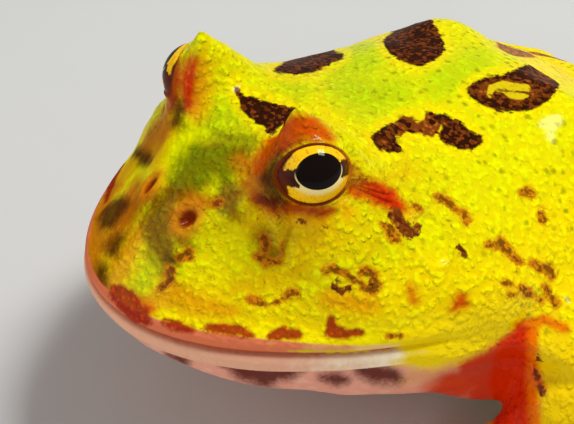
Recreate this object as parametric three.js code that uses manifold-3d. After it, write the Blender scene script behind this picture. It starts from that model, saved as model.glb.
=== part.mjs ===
// A life-size horned frog that sits with its head raised, parted into its named sub-parts.
// Millimetres. +Z is up, the frog faces -Y, and its left side is +X. The floor is at z = 0.
import * as THREE from "three";
import { mergeVertices } from "three/addons/utils/BufferGeometryUtils.js";
import Module from "manifold-3d";

const wasm = await Module();
wasm.setup();

// Driving dimensions
const SNOUT_Y = -53.6; // tip of the upper lip
const VENT_Y = 54.6; // hind end of the body
const JAW_HALF_WIDTH = 30.4; // half the head's width at the jaw angles
const JAW_ANGLE_Y = -9.5; // where the head is widest
const MOUTH_ROUNDNESS = 1.95; // power of the mouth's outline seen from above
const NECK_Y = -4.6; // plane that parts the head from the torso
const GAP = 0.3; // space that parted pieces keep
const EYE = { x: 12.8, y: -30, z: 45, radius: 4.7 };
const GAZE = new THREE.Vector3(0.78, -0.36, 0.5).normalize(); // left eye, outwards
const LID_RADIUS = 5.65;
const LOWER_LID_INSET = 0.05; // the lower lid is this much thinner than the upper one
const EYE_OPENING = { length: 4.2, height: 3.75, depth: 9 };
// The pointed upper lid: its tip, and the middle and half sizes of its root
const HORN = { tip: [10.8, -30.4, 52.8], root: [11.4, -27.8, 42.5], halfWidth: 6.6, halfLength: 7.6 };
const LID_TILT = 0.32; // the upper lid's lower edge falls to the outside, radians
const LID_EDGE_ABOVE_EYE = 0.9; // height of that edge over the eye's middle
// Places on the body are given by y and by the angle round the section, 0 on the left side
const NOSTRIL = {
  y: -43.2, angle: 66, lift: 0.2, length: 1.15, rim: 2.0, rise: 0.9, hole: 0.95, depth: 2.2,
};
const EARDRUM = { y: -19, angle: 36, height: 3.6, length: 2.8, rise: 0.5 };

// Body stations from snout to vent: half width, top, level of the widest line, underside,
// and how square the section is above and below that line. The head's half width comes
// from the outline of the mouth, so it is left at zero here.
// [y, half, top, level, under, squareUp, squareDown]
const STATIONS = [
  [SNOUT_Y, 0, 26.9, 26.5, 25.9, 2.0, 2.2],
  [-52.2, 0, 30.2, 26.4, 23.2, 1.5, 2.3],
  [-49.6, 0, 33.4, 26.2, 19.9, 1.3, 2.4],
  [-43, 0, 39.8, 25.9, 15.6, 1.18, 2.8],
  [-36, 0, 44.6, 25.5, 13.1, 1.32, 3.0],
  [-30, 0, 46.6, 24.9, 10.8, 1.6, 3.2],
  [-20, 0, 45.6, 23.4, 7.3, 1.7, 3.3],
  [JAW_ANGLE_Y, JAW_HALF_WIDTH, 42.8, 21.7, 3.6, 1.7, 3.3],
  [0, 30.2, 41.4, 19.3, 1.0, 1.75, 3.0],
  [10, 32.0, 38.9, 16.8, -0.2, 1.85, 2.6],
  [20, 33.6, 33.0, 14.8, -0.7, 1.9, 2.5],
  [30, 33.4, 25.0, 13.0, -0.7, 1.95, 2.2],
  [40, 29.5, 18.2, 11.0, -0.5, 2.0, 2.2],
  [48, 21.6, 14.2, 9.6, 1.2, 2.0, 2.2],
  [52.6, 12.5, 12.0, 8.8, 4.0, 2.0, 2.2],
  [VENT_Y, 2.0, 8.8, 8.0, 7.0, 2.0, 2.2],
].map(([y, half, top, level, under, squareUp, squareDown]) => (
  { y, half, top, level, under, squareUp, squareDown }
));

// Swellings and hollows of the body: centre, spread along x, y and z, and height. Each is
// mirrored to the right side.
const FORMS = [
  { name: "hollow between the eyes", at: [0, -31, 47], spread: [5.5, 8, 9], height: -1.6 },
  { name: "brow ridge to the nostril", at: [8.2, -38.5, 42.5], spread: [2.4, 5.5, 4], height: 1.2 },
  { name: "hollow before the eye", at: [14.5, -40, 37.5], spread: [3.6, 4, 3.4], height: -1.3 },
  { name: "swelling round the eye", at: [16, -29.6, 41.5], spread: [6.2, 6.6, 7], height: 4.2 },
  { name: "inner slope of the lid", at: [8, -29, 47], spread: [3.6, 6.2, 6], height: 1.7 },
  { name: "cheek below the eye", at: [24, -30, 31], spread: [7, 7, 4.5], height: 0.8 },
  { name: "jaw angle", at: [30, -12, 26], spread: [6, 6, 6], height: 1.3 },
  { name: "ridge behind the eye", at: [18.5, -21, 42], spread: [4, 5, 3.5], height: 0.9 },
  { name: "hollow of the nape", at: [0, -15, 45], spread: [8, 6, 8], height: -1.0 },
  { name: "shoulder blade", at: [13, 13.5, 37], spread: [6, 5, 7], height: 2.3 },
  { name: "chest beside the arm", at: [26, -10, 6], spread: [7, 8, 7], height: 3.0 },
  { name: "hip", at: [8, 28, 28], spread: [4.5, 7, 8], height: 1.0 },
  { name: "chin", at: [0, -50, 22], spread: [7, 4, 4], height: 0.6 },
];
const UPPER_LIP = { above: 1.5, spread: 1.3, height: 0.6 };
const LOWER_LIP = { below: 1.7, spread: 1.3, height: 0.6 };
const LIPS_END_Y = -15.5; // the lips fade out before the jaw angles
const LIPS_FADE = { rear: 8, front: 1.5 };

const LIMBS = {
  upperArm: {
    path: [[20, -1, 19], [29, -2.6, 16], [34.6, -2.6, 11.6]], radii: [7.4, 7.4, 6.4], up: [0, 1, 0],
  },
  forearm: {
    path: [[34.6, -2.8, 11.4], [35.2, -6.4, 7.8], [34.4, -9.8, 4.7]], radii: [6.3, 6.0, 4.2], up: [1, 0, 0],
  },
  palm: {
    path: [[34.4, -9, 4.7], [34.2, -12, 3.4], [33.8, -15, 2.6]], radii: [3.9, 3.6, 2.9], wide: 1.35,
  },
  thigh: {
    path: [[8, 40, 9.4], [21.5, 33, 9.8], [34.2, 21.5, 9.2]], radii: [8.7, 9.1, 6.7],
  },
  shank: {
    path: [[34.6, 22, 8.8], [34.6, 33, 8.2], [28.4, 45.6, 6.6]], radii: [6.0, 6.2, 4.4],
  },
  heel: {
    path: [[29.6, 48, 4.7], [36, 44, 4.1], [41.2, 37, 3.6]], radii: [4.4, 4.0, 3.6], wide: 1.1,
  },
  sole: {
    path: [[41, 37.4, 3.5], [43.2, 32, 3.0], [44.2, 26.5, 2.4]], radii: [3.5, 3.4, 2.5], wide: 1.6,
  },
};
// Digits fan out from the palm or sole: length, and heading in degrees from straight ahead,
// outwards positive.
const FINGERS = {
  root: [34.2, -14.6, 2.3], spread: 2.4, radius: 2.1, tip: 1.5,
  heading: [-42, -20, 3, 32], length: [8.5, 10, 11.5, 9],
};
const TOES = {
  root: [44, 27.5, 2.1], spread: 2.2, radius: 1.95, tip: 1.35,
  heading: [-48, -29, -14, -1, 13], length: [8, 11, 14.5, 18, 13.5],
};
// Webs reach this share along the toes, hollowed by the dip, and lie lower than the toes
const WEB = { reach: 0.5, dip: 0.36, thickness: 0.9, sag: 0.7, lowest: 0.8 };
const SPUR = { at: [38.6, 34.5, 1.9], radii: [1.6, 3.4, 1.9] }; // digging tubercle of the foot

// How finely the surfaces are parted
const ROWS = { head: 22, torso: 14 };
const ROW_CROWDING = { head: 0.92, torso: 1.1 }; // powers that draw rows towards snout and vent
const COLUMNS = 40;
const COLUMN_CROWDING = 0.3; // draws columns towards the lips, radians
const LIMB_ROWS = 6;
const LIMB_SIDES = 12;
const DIGIT_ROWS = 3;
const DIGIT_SIDES = 6;
const CAP_ROWS = 2;
const BALL = { around: 20, high: 12 };
const LID_BALL = { around: 18, high: 12 };
const SMALL_BALL = { around: 12, high: 8 };
const FAR = 90; // half size of the cutting slabs, beyond the whole frog

const SKIN = new THREE.MeshStandardMaterial({ color: 0xd9d41e, roughness: 0.45, metalness: 0 });
const THROAT = new THREE.MeshStandardMaterial({ color: 0xe2b7a0, roughness: 0.45, metalness: 0 });
const ARM = new THREE.MeshStandardMaterial({ color: 0xe0b416, roughness: 0.5, metalness: 0 });
const EYEBALL = new THREE.MeshStandardMaterial({ color: 0xd9a520, roughness: 0.08, metalness: 0 });

const clamp = (v, low, high) => Math.min(high, Math.max(low, v));
const vec = (a) => new THREE.Vector3(...a);
const bell = (d) => Math.exp(-d * d);

// Monotone cubic through the stations' values of one named column.
function columnCurve(column) {
  const x = STATIONS.map((s) => s.y);
  const v = STATIONS.map((s) => s[column]);
  const step = x.slice(1).map((b, i) => b - x[i]);
  const rise = step.map((h, i) => (v[i + 1] - v[i]) / h);
  const slope = v.map((_, i) => {
    if (i === 0) return rise[0];
    if (i === v.length - 1) return rise[i - 1];
    if (rise[i - 1] * rise[i] <= 0) return 0;
    const before = 2 * step[i] + step[i - 1];
    const after = step[i] + 2 * step[i - 1];
    return (before + after) / (before / rise[i - 1] + after / rise[i]);
  });
  return (y) => {
    const at = clamp(y, x[0], x[x.length - 1]);
    let i = 0;
    while (i < step.length - 1 && at > x[i + 1]) i += 1;
    const h = step[i];
    const t = (at - x[i]) / h;
    const t2 = t * t;
    const t3 = t2 * t;
    return v[i] * (2 * t3 - 3 * t2 + 1) + h * slope[i] * (t3 - 2 * t2 + t)
      + v[i + 1] * (3 * t2 - 2 * t3) + h * slope[i + 1] * (t3 - t2);
  };
}
const curves = Object.fromEntries(
  ["half", "top", "level", "under", "squareUp", "squareDown"].map((c) => [c, columnCurve(c)]),
);

// Half width at y: a superellipse round the mouth, then the stations' own width.
function halfWidth(y) {
  if (y >= JAW_ANGLE_Y) return curves.half(y);
  const share = clamp((JAW_ANGLE_Y - y) / (JAW_ANGLE_Y - SNOUT_Y), 0, 1);
  return JAW_HALF_WIDTH * (1 - share ** MOUTH_ROUNDNESS) ** (1 / MOUTH_ROUNDNESS);
}

// Point of the smooth body at y and at the angle round the section, 0 on the left side.
function smoothBody(y, angle) {
  const c = Math.cos(angle);
  const s = Math.sin(angle);
  const level = curves.level(y);
  const power = 2 / (s > 0 ? curves.squareUp(y) : curves.squareDown(y));
  const height = s > 0 ? curves.top(y) - level : level - curves.under(y);
  return new THREE.Vector3(
    halfWidth(y) * Math.sign(c) * Math.abs(c) ** power,
    y,
    level + height * Math.sign(s) * Math.abs(s) ** power,
  );
}

// Outward lift of the body's surface at a point: the forms and the two lips.
function lift(p) {
  const x = Math.abs(p.x);
  let sum = 0;
  for (const f of FORMS) {
    sum += f.height * bell(Math.hypot(
      (x - f.at[0]) / f.spread[0],
      (p.y - f.at[1]) / f.spread[1],
      (p.z - f.at[2]) / f.spread[2],
    ));
  }
  const fromMouth = p.z - curves.level(p.y);
  const mouthShare = clamp((LIPS_END_Y - p.y) / LIPS_FADE.rear, 0, 1)
    * clamp((p.y - SNOUT_Y) / LIPS_FADE.front, 0, 1);
  sum += mouthShare * UPPER_LIP.height * bell((fromMouth - UPPER_LIP.above) / UPPER_LIP.spread);
  sum += mouthShare * LOWER_LIP.height * bell((fromMouth + LOWER_LIP.below) / LOWER_LIP.spread);
  return sum;
}

// Point and outward direction of the finished surface, moved outwards by grow.
function surfaceAt(y, angle, grow = 0) {
  const step = 0.02;
  const point = smoothBody(y, angle);
  const ahead = smoothBody(y + step, angle).sub(smoothBody(y - step, angle));
  const round = smoothBody(y, angle + step).sub(smoothBody(y, angle - step));
  const normal = ahead.cross(round).normalize();
  if (normal.lengthSq() > 0.5) point.addScaledVector(normal, lift(point) + grow);
  return { point, normal };
}

// Closed solid from rows of points: each row is a ring, and both ends close on a pole.
function closedRings(rings, first, last) {
  const sides = rings[0].length;
  const position = [first, ...rings.flat(), last].flatMap((p) => [p.x, p.y, p.z]);
  const index = [];
  const at = (i, j) => 1 + i * sides + (j % sides);
  const end = 1 + rings.length * sides;
  for (let j = 0; j < sides; j += 1) {
    index.push(0, at(0, j), at(0, j + 1));
    index.push(end, at(rings.length - 1, j + 1), at(rings.length - 1, j));
    for (let i = 0; i < rings.length - 1; i += 1) {
      index.push(at(i, j), at(i + 1, j), at(i + 1, j + 1));
      index.push(at(i, j), at(i + 1, j + 1), at(i, j + 1));
    }
  }
  const geometry = new THREE.BufferGeometry();
  geometry.setAttribute("position", new THREE.Float32BufferAttribute(position, 3));
  geometry.setIndex(index);
  return solidOf(geometry);
}

// A closed surface as a solid whose faces point outwards.
function solidOf(geometry) {
  const bare = geometry.clone();
  bare.deleteAttribute("normal");
  bare.deleteAttribute("uv");
  const merged = mergeVertices(bare, 1e-4);
  const triVerts = new Uint32Array(merged.index.array);
  const vertProperties = new Float32Array(merged.attributes.position.array);
  const made = new wasm.Manifold(new wasm.Mesh({ numProp: 3, vertProperties, triVerts }));
  if (made.volume() > 0) return made;
  for (let i = 0; i < triVerts.length; i += 3) {
    [triVerts[i + 1], triVerts[i + 2]] = [triVerts[i + 2], triVerts[i + 1]];
  }
  return new wasm.Manifold(new wasm.Mesh({ numProp: 3, vertProperties, triVerts }));
}

// The whole body without limbs, its surface moved outwards by grow.
function body(grow) {
  const rings = [];
  const total = ROWS.head + ROWS.torso;
  for (let i = 1; i < total; i += 1) {
    const inHead = i <= ROWS.head;
    const share = inHead ? i / ROWS.head : (i - ROWS.head) / ROWS.torso;
    const y = inHead
      ? SNOUT_Y + (NECK_Y - SNOUT_Y) * (1 - Math.cos((share * Math.PI) / 2)) ** ROW_CROWDING.head
      : NECK_Y + (VENT_Y - NECK_Y) * Math.sin((share * Math.PI) / 2) ** ROW_CROWDING.torso;
    const ring = [];
    for (let j = 0; j < COLUMNS; j += 1) {
      const even = (2 * Math.PI * j) / COLUMNS;
      const angle = even - COLUMN_CROWDING * Math.sin(2 * even);
      ring.push(surfaceAt(y, angle, grow).point);
    }
    rings.push(ring);
  }
  const snout = new THREE.Vector3(0, SNOUT_Y - grow, curves.level(SNOUT_Y));
  const vent = new THREE.Vector3(0, VENT_Y + grow, curves.level(VENT_Y));
  return closedRings(rings, snout, vent);
}

// A limb, its elliptical section carried along a curve, with round ends.
function limb(shape, grow = 0, rows = LIMB_ROWS, sides = LIMB_SIDES) {
  const { path, radii, up = [0, 0, 1], wide = 1 } = shape;
  const curve = new THREE.CatmullRomCurve3(path.map(vec));
  const radiusAt = (t) => {
    const f = clamp(t, 0, 1) * (radii.length - 1);
    const i = Math.min(radii.length - 2, Math.floor(f));
    const s = f - i;
    const ease = s * s * (3 - 2 * s);
    return radii[i] + (radii[i + 1] - radii[i]) * ease + grow;
  };
  const rings = [];
  const ring = (t, shift, share) => {
    const tangent = curve.getTangent(t);
    const side = tangent.clone().cross(vec(up)).normalize();
    const rise = side.clone().cross(tangent).normalize();
    const radius = radiusAt(t) * share;
    const centre = curve.getPoint(t).addScaledVector(tangent, shift);
    rings.push(Array.from({ length: sides }, (_, j) => {
      const a = (2 * Math.PI * j) / sides;
      return centre.clone()
        .addScaledVector(side, radius * wide * Math.cos(a))
        .addScaledVector(rise, radius * Math.sin(a));
    }));
  };
  const cap = (k) => (k * Math.PI) / 2 / (CAP_ROWS + 1);
  for (let k = CAP_ROWS; k > 0; k -= 1) ring(0, -radiusAt(0) * Math.sin(cap(k)), Math.cos(cap(k)));
  for (let i = 0; i <= rows; i += 1) ring(i / rows, 0, 1);
  for (let k = 1; k <= CAP_ROWS; k += 1) ring(1, radiusAt(1) * Math.sin(cap(k)), Math.cos(cap(k)));
  const first = curve.getPoint(0).addScaledVector(curve.getTangent(0), -radiusAt(0));
  const last = curve.getPoint(1).addScaledVector(curve.getTangent(1), radiusAt(1));
  return closedRings(rings, first, last);
}

function ellipsoid(at, radii, turn = new THREE.Quaternion(), parts = BALL) {
  const geometry = new THREE.SphereGeometry(1, parts.around, parts.high);
  const matrix = new THREE.Matrix4().compose(vec(at), turn, vec(radii));
  return solidOf(geometry.applyMatrix4(matrix));
}

// Slab across the whole width whose outline in the y-z plane is given.
function slab(outline) {
  const shape = new THREE.Shape(outline.map(([y, z]) => new THREE.Vector2(y, z)));
  const geometry = new THREE.ExtrudeGeometry(shape, { depth: 2 * FAR, bevelEnabled: false });
  const turn = new THREE.Matrix4().makeBasis(vec([0, 1, 0]), vec([0, 0, 1]), vec([1, 0, 0]));
  return solidOf(geometry.applyMatrix4(turn).translate(-FAR, 0, 0));
}

const join = (solids) => solids.reduce((a, b) => a.add(b));
const largest = (solid) => solid.decompose().sort((a, b) => b.volume() - a.volume())[0];
const mirrored = (solid) => solid.mirror([1, 0, 0]);

// Outline of all that lies above or below the mouth, as far back as the neck.
function mouthSide(above) {
  const steps = 24;
  const front = SNOUT_Y - 4;
  const side = above ? 1 : -1;
  const edge = [];
  for (let i = 0; i <= steps; i += 1) {
    const y = front + (NECK_Y - front) * (i / steps);
    edge.push([y, curves.level(y) + (side * GAP) / 2]);
  }
  return slab([...edge, [NECK_Y, side * FAR], [front, side * FAR]]);
}

// Turn that carries +Z to the given direction, with the opening's length kept level.
function towards(direction) {
  const level = new THREE.Vector3(0, 0, 1).cross(direction).normalize();
  const rise = direction.clone().cross(level).normalize();
  const basis = new THREE.Matrix4().makeBasis(level, rise, direction);
  return new THREE.Quaternion().setFromRotationMatrix(basis);
}

const eyeCentre = new THREE.Vector3(EYE.x, EYE.y, EYE.z);

// The opening between the lids: an elliptical cone from the eye's centre outwards.
function eyeOpening() {
  const reach = EYE_OPENING.depth;
  const spreadOf = (half) => reach * Math.tan(Math.asin(half / EYE.radius));
  const cone = new THREE.CylinderGeometry(1, 0.02, 1, BALL.around);
  cone.rotateX(Math.PI / 2).translate(0, 0, 0.5);
  const size = new THREE.Vector3(spreadOf(EYE_OPENING.length), spreadOf(EYE_OPENING.height), reach);
  return solidOf(cone.applyMatrix4(new THREE.Matrix4().compose(eyeCentre, towards(GAZE), size)));
}

// Upper lid drawn up into a soft horn: a cap over the eye and a leaning wedge.
function lidHorn(grow) {
  const size = LID_RADIUS + grow;
  const cap = ellipsoid(eyeCentre.toArray(), [size, size, size], undefined, LID_BALL);
  const rows = 5;
  const sides = 16;
  const [root, tip] = [vec(HORN.root), vec(HORN.tip)];
  const rings = Array.from({ length: rows + 1 }, (_, i) => {
    const t = i / (rows + 0.7);
    const share = (1 - t) ** 0.95;
    const centre = root.clone().lerp(tip, t);
    return Array.from({ length: sides }, (__, j) => {
      const a = (2 * Math.PI * j) / sides;
      const x = (HORN.halfWidth * share + grow) * Math.cos(a);
      const y = (HORN.halfLength * share + grow) * Math.sin(a);
      return new THREE.Vector3(centre.x + x, centre.y + y, centre.z);
    });
  });
  root.z -= grow;
  tip.z += grow;
  return cap.add(closedRings(rings, root, tip));
}

// Half-space above the line from which the upper lid rises, tilted down to the outside.
function aboveEye(lower) {
  const box = new THREE.BoxGeometry(FAR, FAR, FAR).translate(0, 0, FAR / 2);
  const tilt = new THREE.Matrix4().makeRotationY(LID_TILT);
  box.applyMatrix4(tilt).translate(EYE.x, EYE.y, EYE.z + LID_EDGE_ABOVE_EYE - lower);
  return solidOf(box);
}

function nostril() {
  const { point, normal } = surfaceAt(NOSTRIL.y, THREE.MathUtils.degToRad(NOSTRIL.angle));
  const at = point.addScaledVector(normal, NOSTRIL.lift).toArray();
  const turn = towards(normal);
  const long = NOSTRIL.length;
  const rim = ellipsoid(at, [NOSTRIL.rim * long, NOSTRIL.rim, NOSTRIL.rise], turn, SMALL_BALL);
  const hole = ellipsoid(at, [NOSTRIL.hole * long, NOSTRIL.hole, NOSTRIL.depth], turn, SMALL_BALL);
  return { rim, hole };
}

function eardrum() {
  const { point, normal } = surfaceAt(EARDRUM.y, THREE.MathUtils.degToRad(EARDRUM.angle));
  const radii = [EARDRUM.length, EARDRUM.height, EARDRUM.rise];
  return ellipsoid(point.toArray(), radii, towards(normal), LID_BALL);
}

// Digit i of a hand or foot: its path from the palm or sole out to the tip.
function digitPath(set, i) {
  const count = set.heading.length;
  const heading = THREE.MathUtils.degToRad(set.heading[i]);
  const along = new THREE.Vector3(Math.sin(heading), -Math.cos(heading), 0);
  const across = (i - (count - 1) / 2) * set.spread;
  const root = vec(set.root).add(new THREE.Vector3(across, Math.abs(across) * 0.3, 0));
  const middle = root.clone().addScaledVector(along, set.length[i] * 0.5);
  const tip = root.clone().addScaledVector(along, set.length[i]);
  middle.z = set.radius - 0.1;
  tip.z = set.tip - 0.3;
  return [root, middle, tip];
}

function digits(set) {
  return set.heading.map((_, i) => limb({
    path: digitPath(set, i).map((p) => p.toArray()),
    radii: [set.radius * 1.1, set.radius, set.tip],
  }, 0, DIGIT_ROWS, DIGIT_SIDES));
}

// Web between two neighbouring toes, a thin closed sheet with a hollowed free edge.
function web(i) {
  const toe = (k) => new THREE.CatmullRomCurve3(digitPath(TOES, k));
  const [a, b] = [toe(i), toe(i + 1)];
  const along = 3;
  const across = 3;
  const pointAt = (u, v, raised) => {
    const s = v / across;
    const reach = WEB.reach * (1 - WEB.dip * Math.sin(Math.PI * s)) * (u / along);
    const p = a.getPoint(reach).lerp(b.getPoint(reach), s);
    p.z = Math.max(p.z * WEB.sag, WEB.lowest) + raised;
    return p;
  };
  const count = (n) => [...Array(n + 1).keys()];
  const sheet = (raised) => count(along).map((u) => count(across).map((v) => pointAt(u, v, raised)));
  const top = sheet(WEB.thickness / 2);
  const bottom = sheet(-WEB.thickness / 2);
  const rings = top.map((row, u) => [...row, ...bottom[u].slice().reverse()]);
  const middleOf = (row) => row.reduce((m, p) => m.add(p), new THREE.Vector3()).divideScalar(row.length);
  return closedRings(rings, middleOf(rings[0]), middleOf(rings[rings.length - 1]));
}

// Assembly of the solids
const floor = slab([[-FAR, 0], [FAR, 0], [FAR, -FAR], [-FAR, -FAR]]);
const trunk = body(0).subtract(floor);
const aroundTrunk = body(GAP);
const roundEye = (radius, parts) => (
  ellipsoid(eyeCentre.toArray(), [radius, radius, radius], towards(GAZE), parts)
);
const eyeball = roundEye(EYE.radius, BALL);
const socket = roundEye(EYE.radius + GAP, BALL);
const both = (solid) => solid.add(mirrored(solid));

const lid = largest(lidHorn(0).intersect(aboveEye(0)).subtract(socket).subtract(eyeOpening()));
const lidSeat = lidHorn(GAP).intersect(aboveEye(GAP));
const lowerLid = roundEye(LID_RADIUS - LOWER_LID_INSET, LID_BALL);
const { rim, hole } = nostril();
const head = largest(
  trunk.add(both(join([lowerLid, rim, eardrum()])))
    .intersect(mouthSide(true))
    .subtract(both(join([socket, eyeOpening(), hole])))
    .subtract(both(lidSeat)),
);
const lowerJaw = largest(trunk.intersect(mouthSide(false)));
const torsoFront = NECK_Y + GAP;
const beforeTorso = slab([[-FAR, -FAR], [torsoFront, -FAR], [torsoFront, FAR], [-FAR, FAR]]);
const torso = largest(trunk.subtract(beforeTorso));

const grown = (name) => limb(LIMBS[name], GAP);
const clear = (solid, ...cutters) => (
  largest(cutters.reduce((rest, cutter) => rest.subtract(cutter), solid.subtract(floor)))
);
const upperArm = clear(limb(LIMBS.upperArm), aroundTrunk);
const forearm = clear(limb(LIMBS.forearm), aroundTrunk, grown("upperArm"));
const hand = clear(
  join([limb(LIMBS.palm), ...digits(FINGERS)]),
  aroundTrunk, grown("forearm"), grown("upperArm"),
);
const thigh = clear(limb(LIMBS.thigh), aroundTrunk);
const shank = clear(limb(LIMBS.shank), aroundTrunk, grown("thigh"));
const spur = ellipsoid(SPUR.at, SPUR.radii, undefined, SMALL_BALL);
const webs = TOES.heading.slice(1).map((_, i) => web(i));
const foot = clear(
  join([limb(LIMBS.heel), limb(LIMBS.sole), spur, ...digits(TOES), ...webs]),
  aroundTrunk, grown("thigh"), grown("shank"),
);

function nodeOf(name, solid, material) {
  const data = solid.getMesh();
  const geometry = new THREE.BufferGeometry();
  geometry.setAttribute("position", new THREE.BufferAttribute(new Float32Array(data.vertProperties), 3));
  geometry.setIndex(new THREE.BufferAttribute(new Uint32Array(data.triVerts), 1));
  geometry.computeVertexNormals();
  const mesh = new THREE.Mesh(geometry, material);
  mesh.name = name;
  return mesh;
}

const frog = new THREE.Group();
frog.name = "horned_frog";
frog.add(nodeOf("head", head, SKIN));
frog.add(nodeOf("lower_jaw", lowerJaw, THROAT));
frog.add(nodeOf("torso", torso, SKIN));
const paired = [
  ["eye", eyeball, EYEBALL],
  ["lid_horn", lid, SKIN],
  ["upper_arm", upperArm, ARM],
  ["forearm", forearm, ARM],
  ["hand", hand, ARM],
  ["thigh", thigh, SKIN],
  ["shank", shank, SKIN],
  ["foot", foot, SKIN],
];
for (const [name, solid, material] of paired) {
  frog.add(nodeOf(`${name}_left`, solid, material));
  frog.add(nodeOf(`${name}_right`, mirrored(solid), material));
}

// The origin is under the middle of the whole, on the floor.
const whole = new THREE.Box3().setFromObject(frog);
const middle = whole.getCenter(new THREE.Vector3());
frog.position.set(-middle.x, -middle.y, -whole.min.z);

export default frog;
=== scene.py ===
"""A life-size horned frog that sits on a pale floor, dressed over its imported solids.

All shapes are worked out in millimetres in the frog's own frame: it faces -Y, its left side
is +X, +Z is up and x = 0 is its middle. They are moved to metres when a mesh is made.
"""

import logging
from dataclasses import dataclass, field
from enum import Enum
from typing import NamedTuple

import bmesh
import bpy
import numpy as np
from mathutils import Matrix, Vector
from mathutils.bvhtree import BVHTree


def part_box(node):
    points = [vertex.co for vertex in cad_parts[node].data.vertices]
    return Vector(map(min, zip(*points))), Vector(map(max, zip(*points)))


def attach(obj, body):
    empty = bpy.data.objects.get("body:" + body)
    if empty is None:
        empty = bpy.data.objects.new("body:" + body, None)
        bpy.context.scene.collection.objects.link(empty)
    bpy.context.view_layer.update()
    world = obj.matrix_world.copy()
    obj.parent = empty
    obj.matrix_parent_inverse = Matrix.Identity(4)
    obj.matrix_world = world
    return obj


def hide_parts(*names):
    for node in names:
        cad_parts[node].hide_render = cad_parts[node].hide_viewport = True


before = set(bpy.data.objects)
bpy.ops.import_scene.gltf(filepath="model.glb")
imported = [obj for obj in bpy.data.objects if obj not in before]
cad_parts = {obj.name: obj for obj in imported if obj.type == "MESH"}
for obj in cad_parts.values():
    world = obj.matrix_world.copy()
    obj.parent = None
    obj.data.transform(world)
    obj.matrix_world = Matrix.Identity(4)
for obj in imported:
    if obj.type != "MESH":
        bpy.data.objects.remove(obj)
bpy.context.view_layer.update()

LOG = logging.getLogger("horned_frog")
METRE = 0.001  # metres in a millimetre
TINY = 1e-12  # keeps a division off zero
SLOPE_STEP = 0.01  # step at which the slopes of a section are taken, mm or radians
FAR_OFF = -9.0  # depth of a point far outside a mark, mm
EYE_CENTRE = np.array([12.8, -30.0, 45.0])  # left eye, mm
EYE_RADIUS = 4.7
GAZE = np.array([0.78, -0.36, 0.5])  # left eye, outwards
FRAME_SIZE = (574, 424)  # the photograph's frame, pixels
FLESH = ("head", "lower_jaw", "torso")
FLESH_PAIRS = ("lid_horn", "upper_arm", "forearm", "hand", "thigh", "shank", "foot")
HASH_STRIDES = (73856093, 19349663, 83492791, 2654435761)  # for x, y, z and the salt
HASH_TURNS = ((13, 1274126177), (16, 668265263))  # bits and factor of each mixing turn
HASH_LAST_BITS = 15
HASH_MASK = 0x7FFFFFFF
HASH_TOP = 0xFFFFFF  # the drawn number that stands for 1
PEBBLE_RADIUS = (0.28, 0.26)  # smallest radius and what may come on top, in cells
Array = np.ndarray
Span = tuple[float, float]
Triple = tuple[float, float, float]
Tone = tuple[float, ...]  # a colour's light and cover


def unit(v: Array) -> Array:
    """Vectors over their own lengths, along the last axis."""
    v = np.asarray(v, float)
    return v / np.maximum(np.linalg.norm(v, axis=-1, keepdims=True), TINY)


def bell(d: Array) -> Array:
    """The bump exp(-d^2), 1 at d = 0."""
    return np.exp(-np.square(d))


def ease(low: float, high: float, v: Array) -> Array:
    """Smooth step 3t^2 - 2t^3 of values, where t runs from 0 at low to 1 at high."""
    t = np.clip((np.asarray(v, float) - low) / (high - low), 0.0, 1.0)
    return t * t * (3 - 2 * t)


def curve_through(x: Array, xs: Array, ys: Array) -> Array:
    """Monotone cubic through the points (xs, ys): slopes are weighted harmonic means.

    Args:
        x: Places at which the curve is read.
        xs: Rising places of the points.
        ys: Values at those places.

    Returns:
        The curve's values at x.
    """
    xs, ys = np.asarray(xs, float), np.asarray(ys, float)
    step, rise = np.diff(xs), np.diff(ys) / np.diff(xs)
    before, after = 2 * step[1:] + step[:-1], step[1:] + 2 * step[:-1]
    same = rise[:-1] * rise[1:] > 0
    safe = np.where(same[:, None], np.stack([rise[:-1], rise[1:]], 1), 1.0)
    inner = np.where(same, (before + after) / (before / safe[:, 0] + after / safe[:, 1]), 0.0)
    slope = np.concatenate([rise[:1], inner, rise[-1:]])
    x = np.clip(x, xs[0], xs[-1])
    i = np.clip(np.searchsorted(xs, x, side="right") - 1, 0, len(step) - 1)
    h = step[i]
    t = (x - xs[i]) / h
    return (ys[i] * (2 * t**3 - 3 * t**2 + 1) + h * slope[i] * (t**3 - 2 * t**2 + t)
            + ys[i + 1] * (3 * t**2 - 2 * t**3) + h * slope[i + 1] * (t**3 - t**2))


def hashed(cell: Array, salt: int) -> Array:
    """A number from 0 to 1 for each whole-number cell, the same in each run.

    Args:
        cell: Whole numbers, three along the last axis.
        salt: Picks another set of numbers.

    Returns:
        The numbers, one for each cell.
    """
    c = cell.astype(np.int64)
    x, y, z, own = HASH_STRIDES
    n = c[..., 0] * x ^ c[..., 1] * y ^ c[..., 2] * z ^ salt * own
    for bits, factor in HASH_TURNS:
        n = (n ^ (n >> bits)) * factor & HASH_MASK
    return ((n ^ (n >> HASH_LAST_BITS)) & HASH_TOP) / float(HASH_TOP)


def soft_noise(p: Array, size: float, salt: int) -> Array:
    """Value noise from -1 to 1: hashed lattice corners, eased together in a cell.

    Args:
        p: Points, mm.
        size: Side of the lattice's cells, mm.
        salt: Picks another noise.

    Returns:
        The noise at each point.
    """
    q = p / size
    base = np.floor(q)
    t = ease(0.0, 1.0, q - base)
    total = np.zeros(len(p))
    for corner in np.ndindex(2, 2, 2):
        weight = np.prod(np.where(np.array(corner), t, 1 - t), axis=1)
        total += weight * hashed(base + corner, salt)
    return total * 2 - 1


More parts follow.
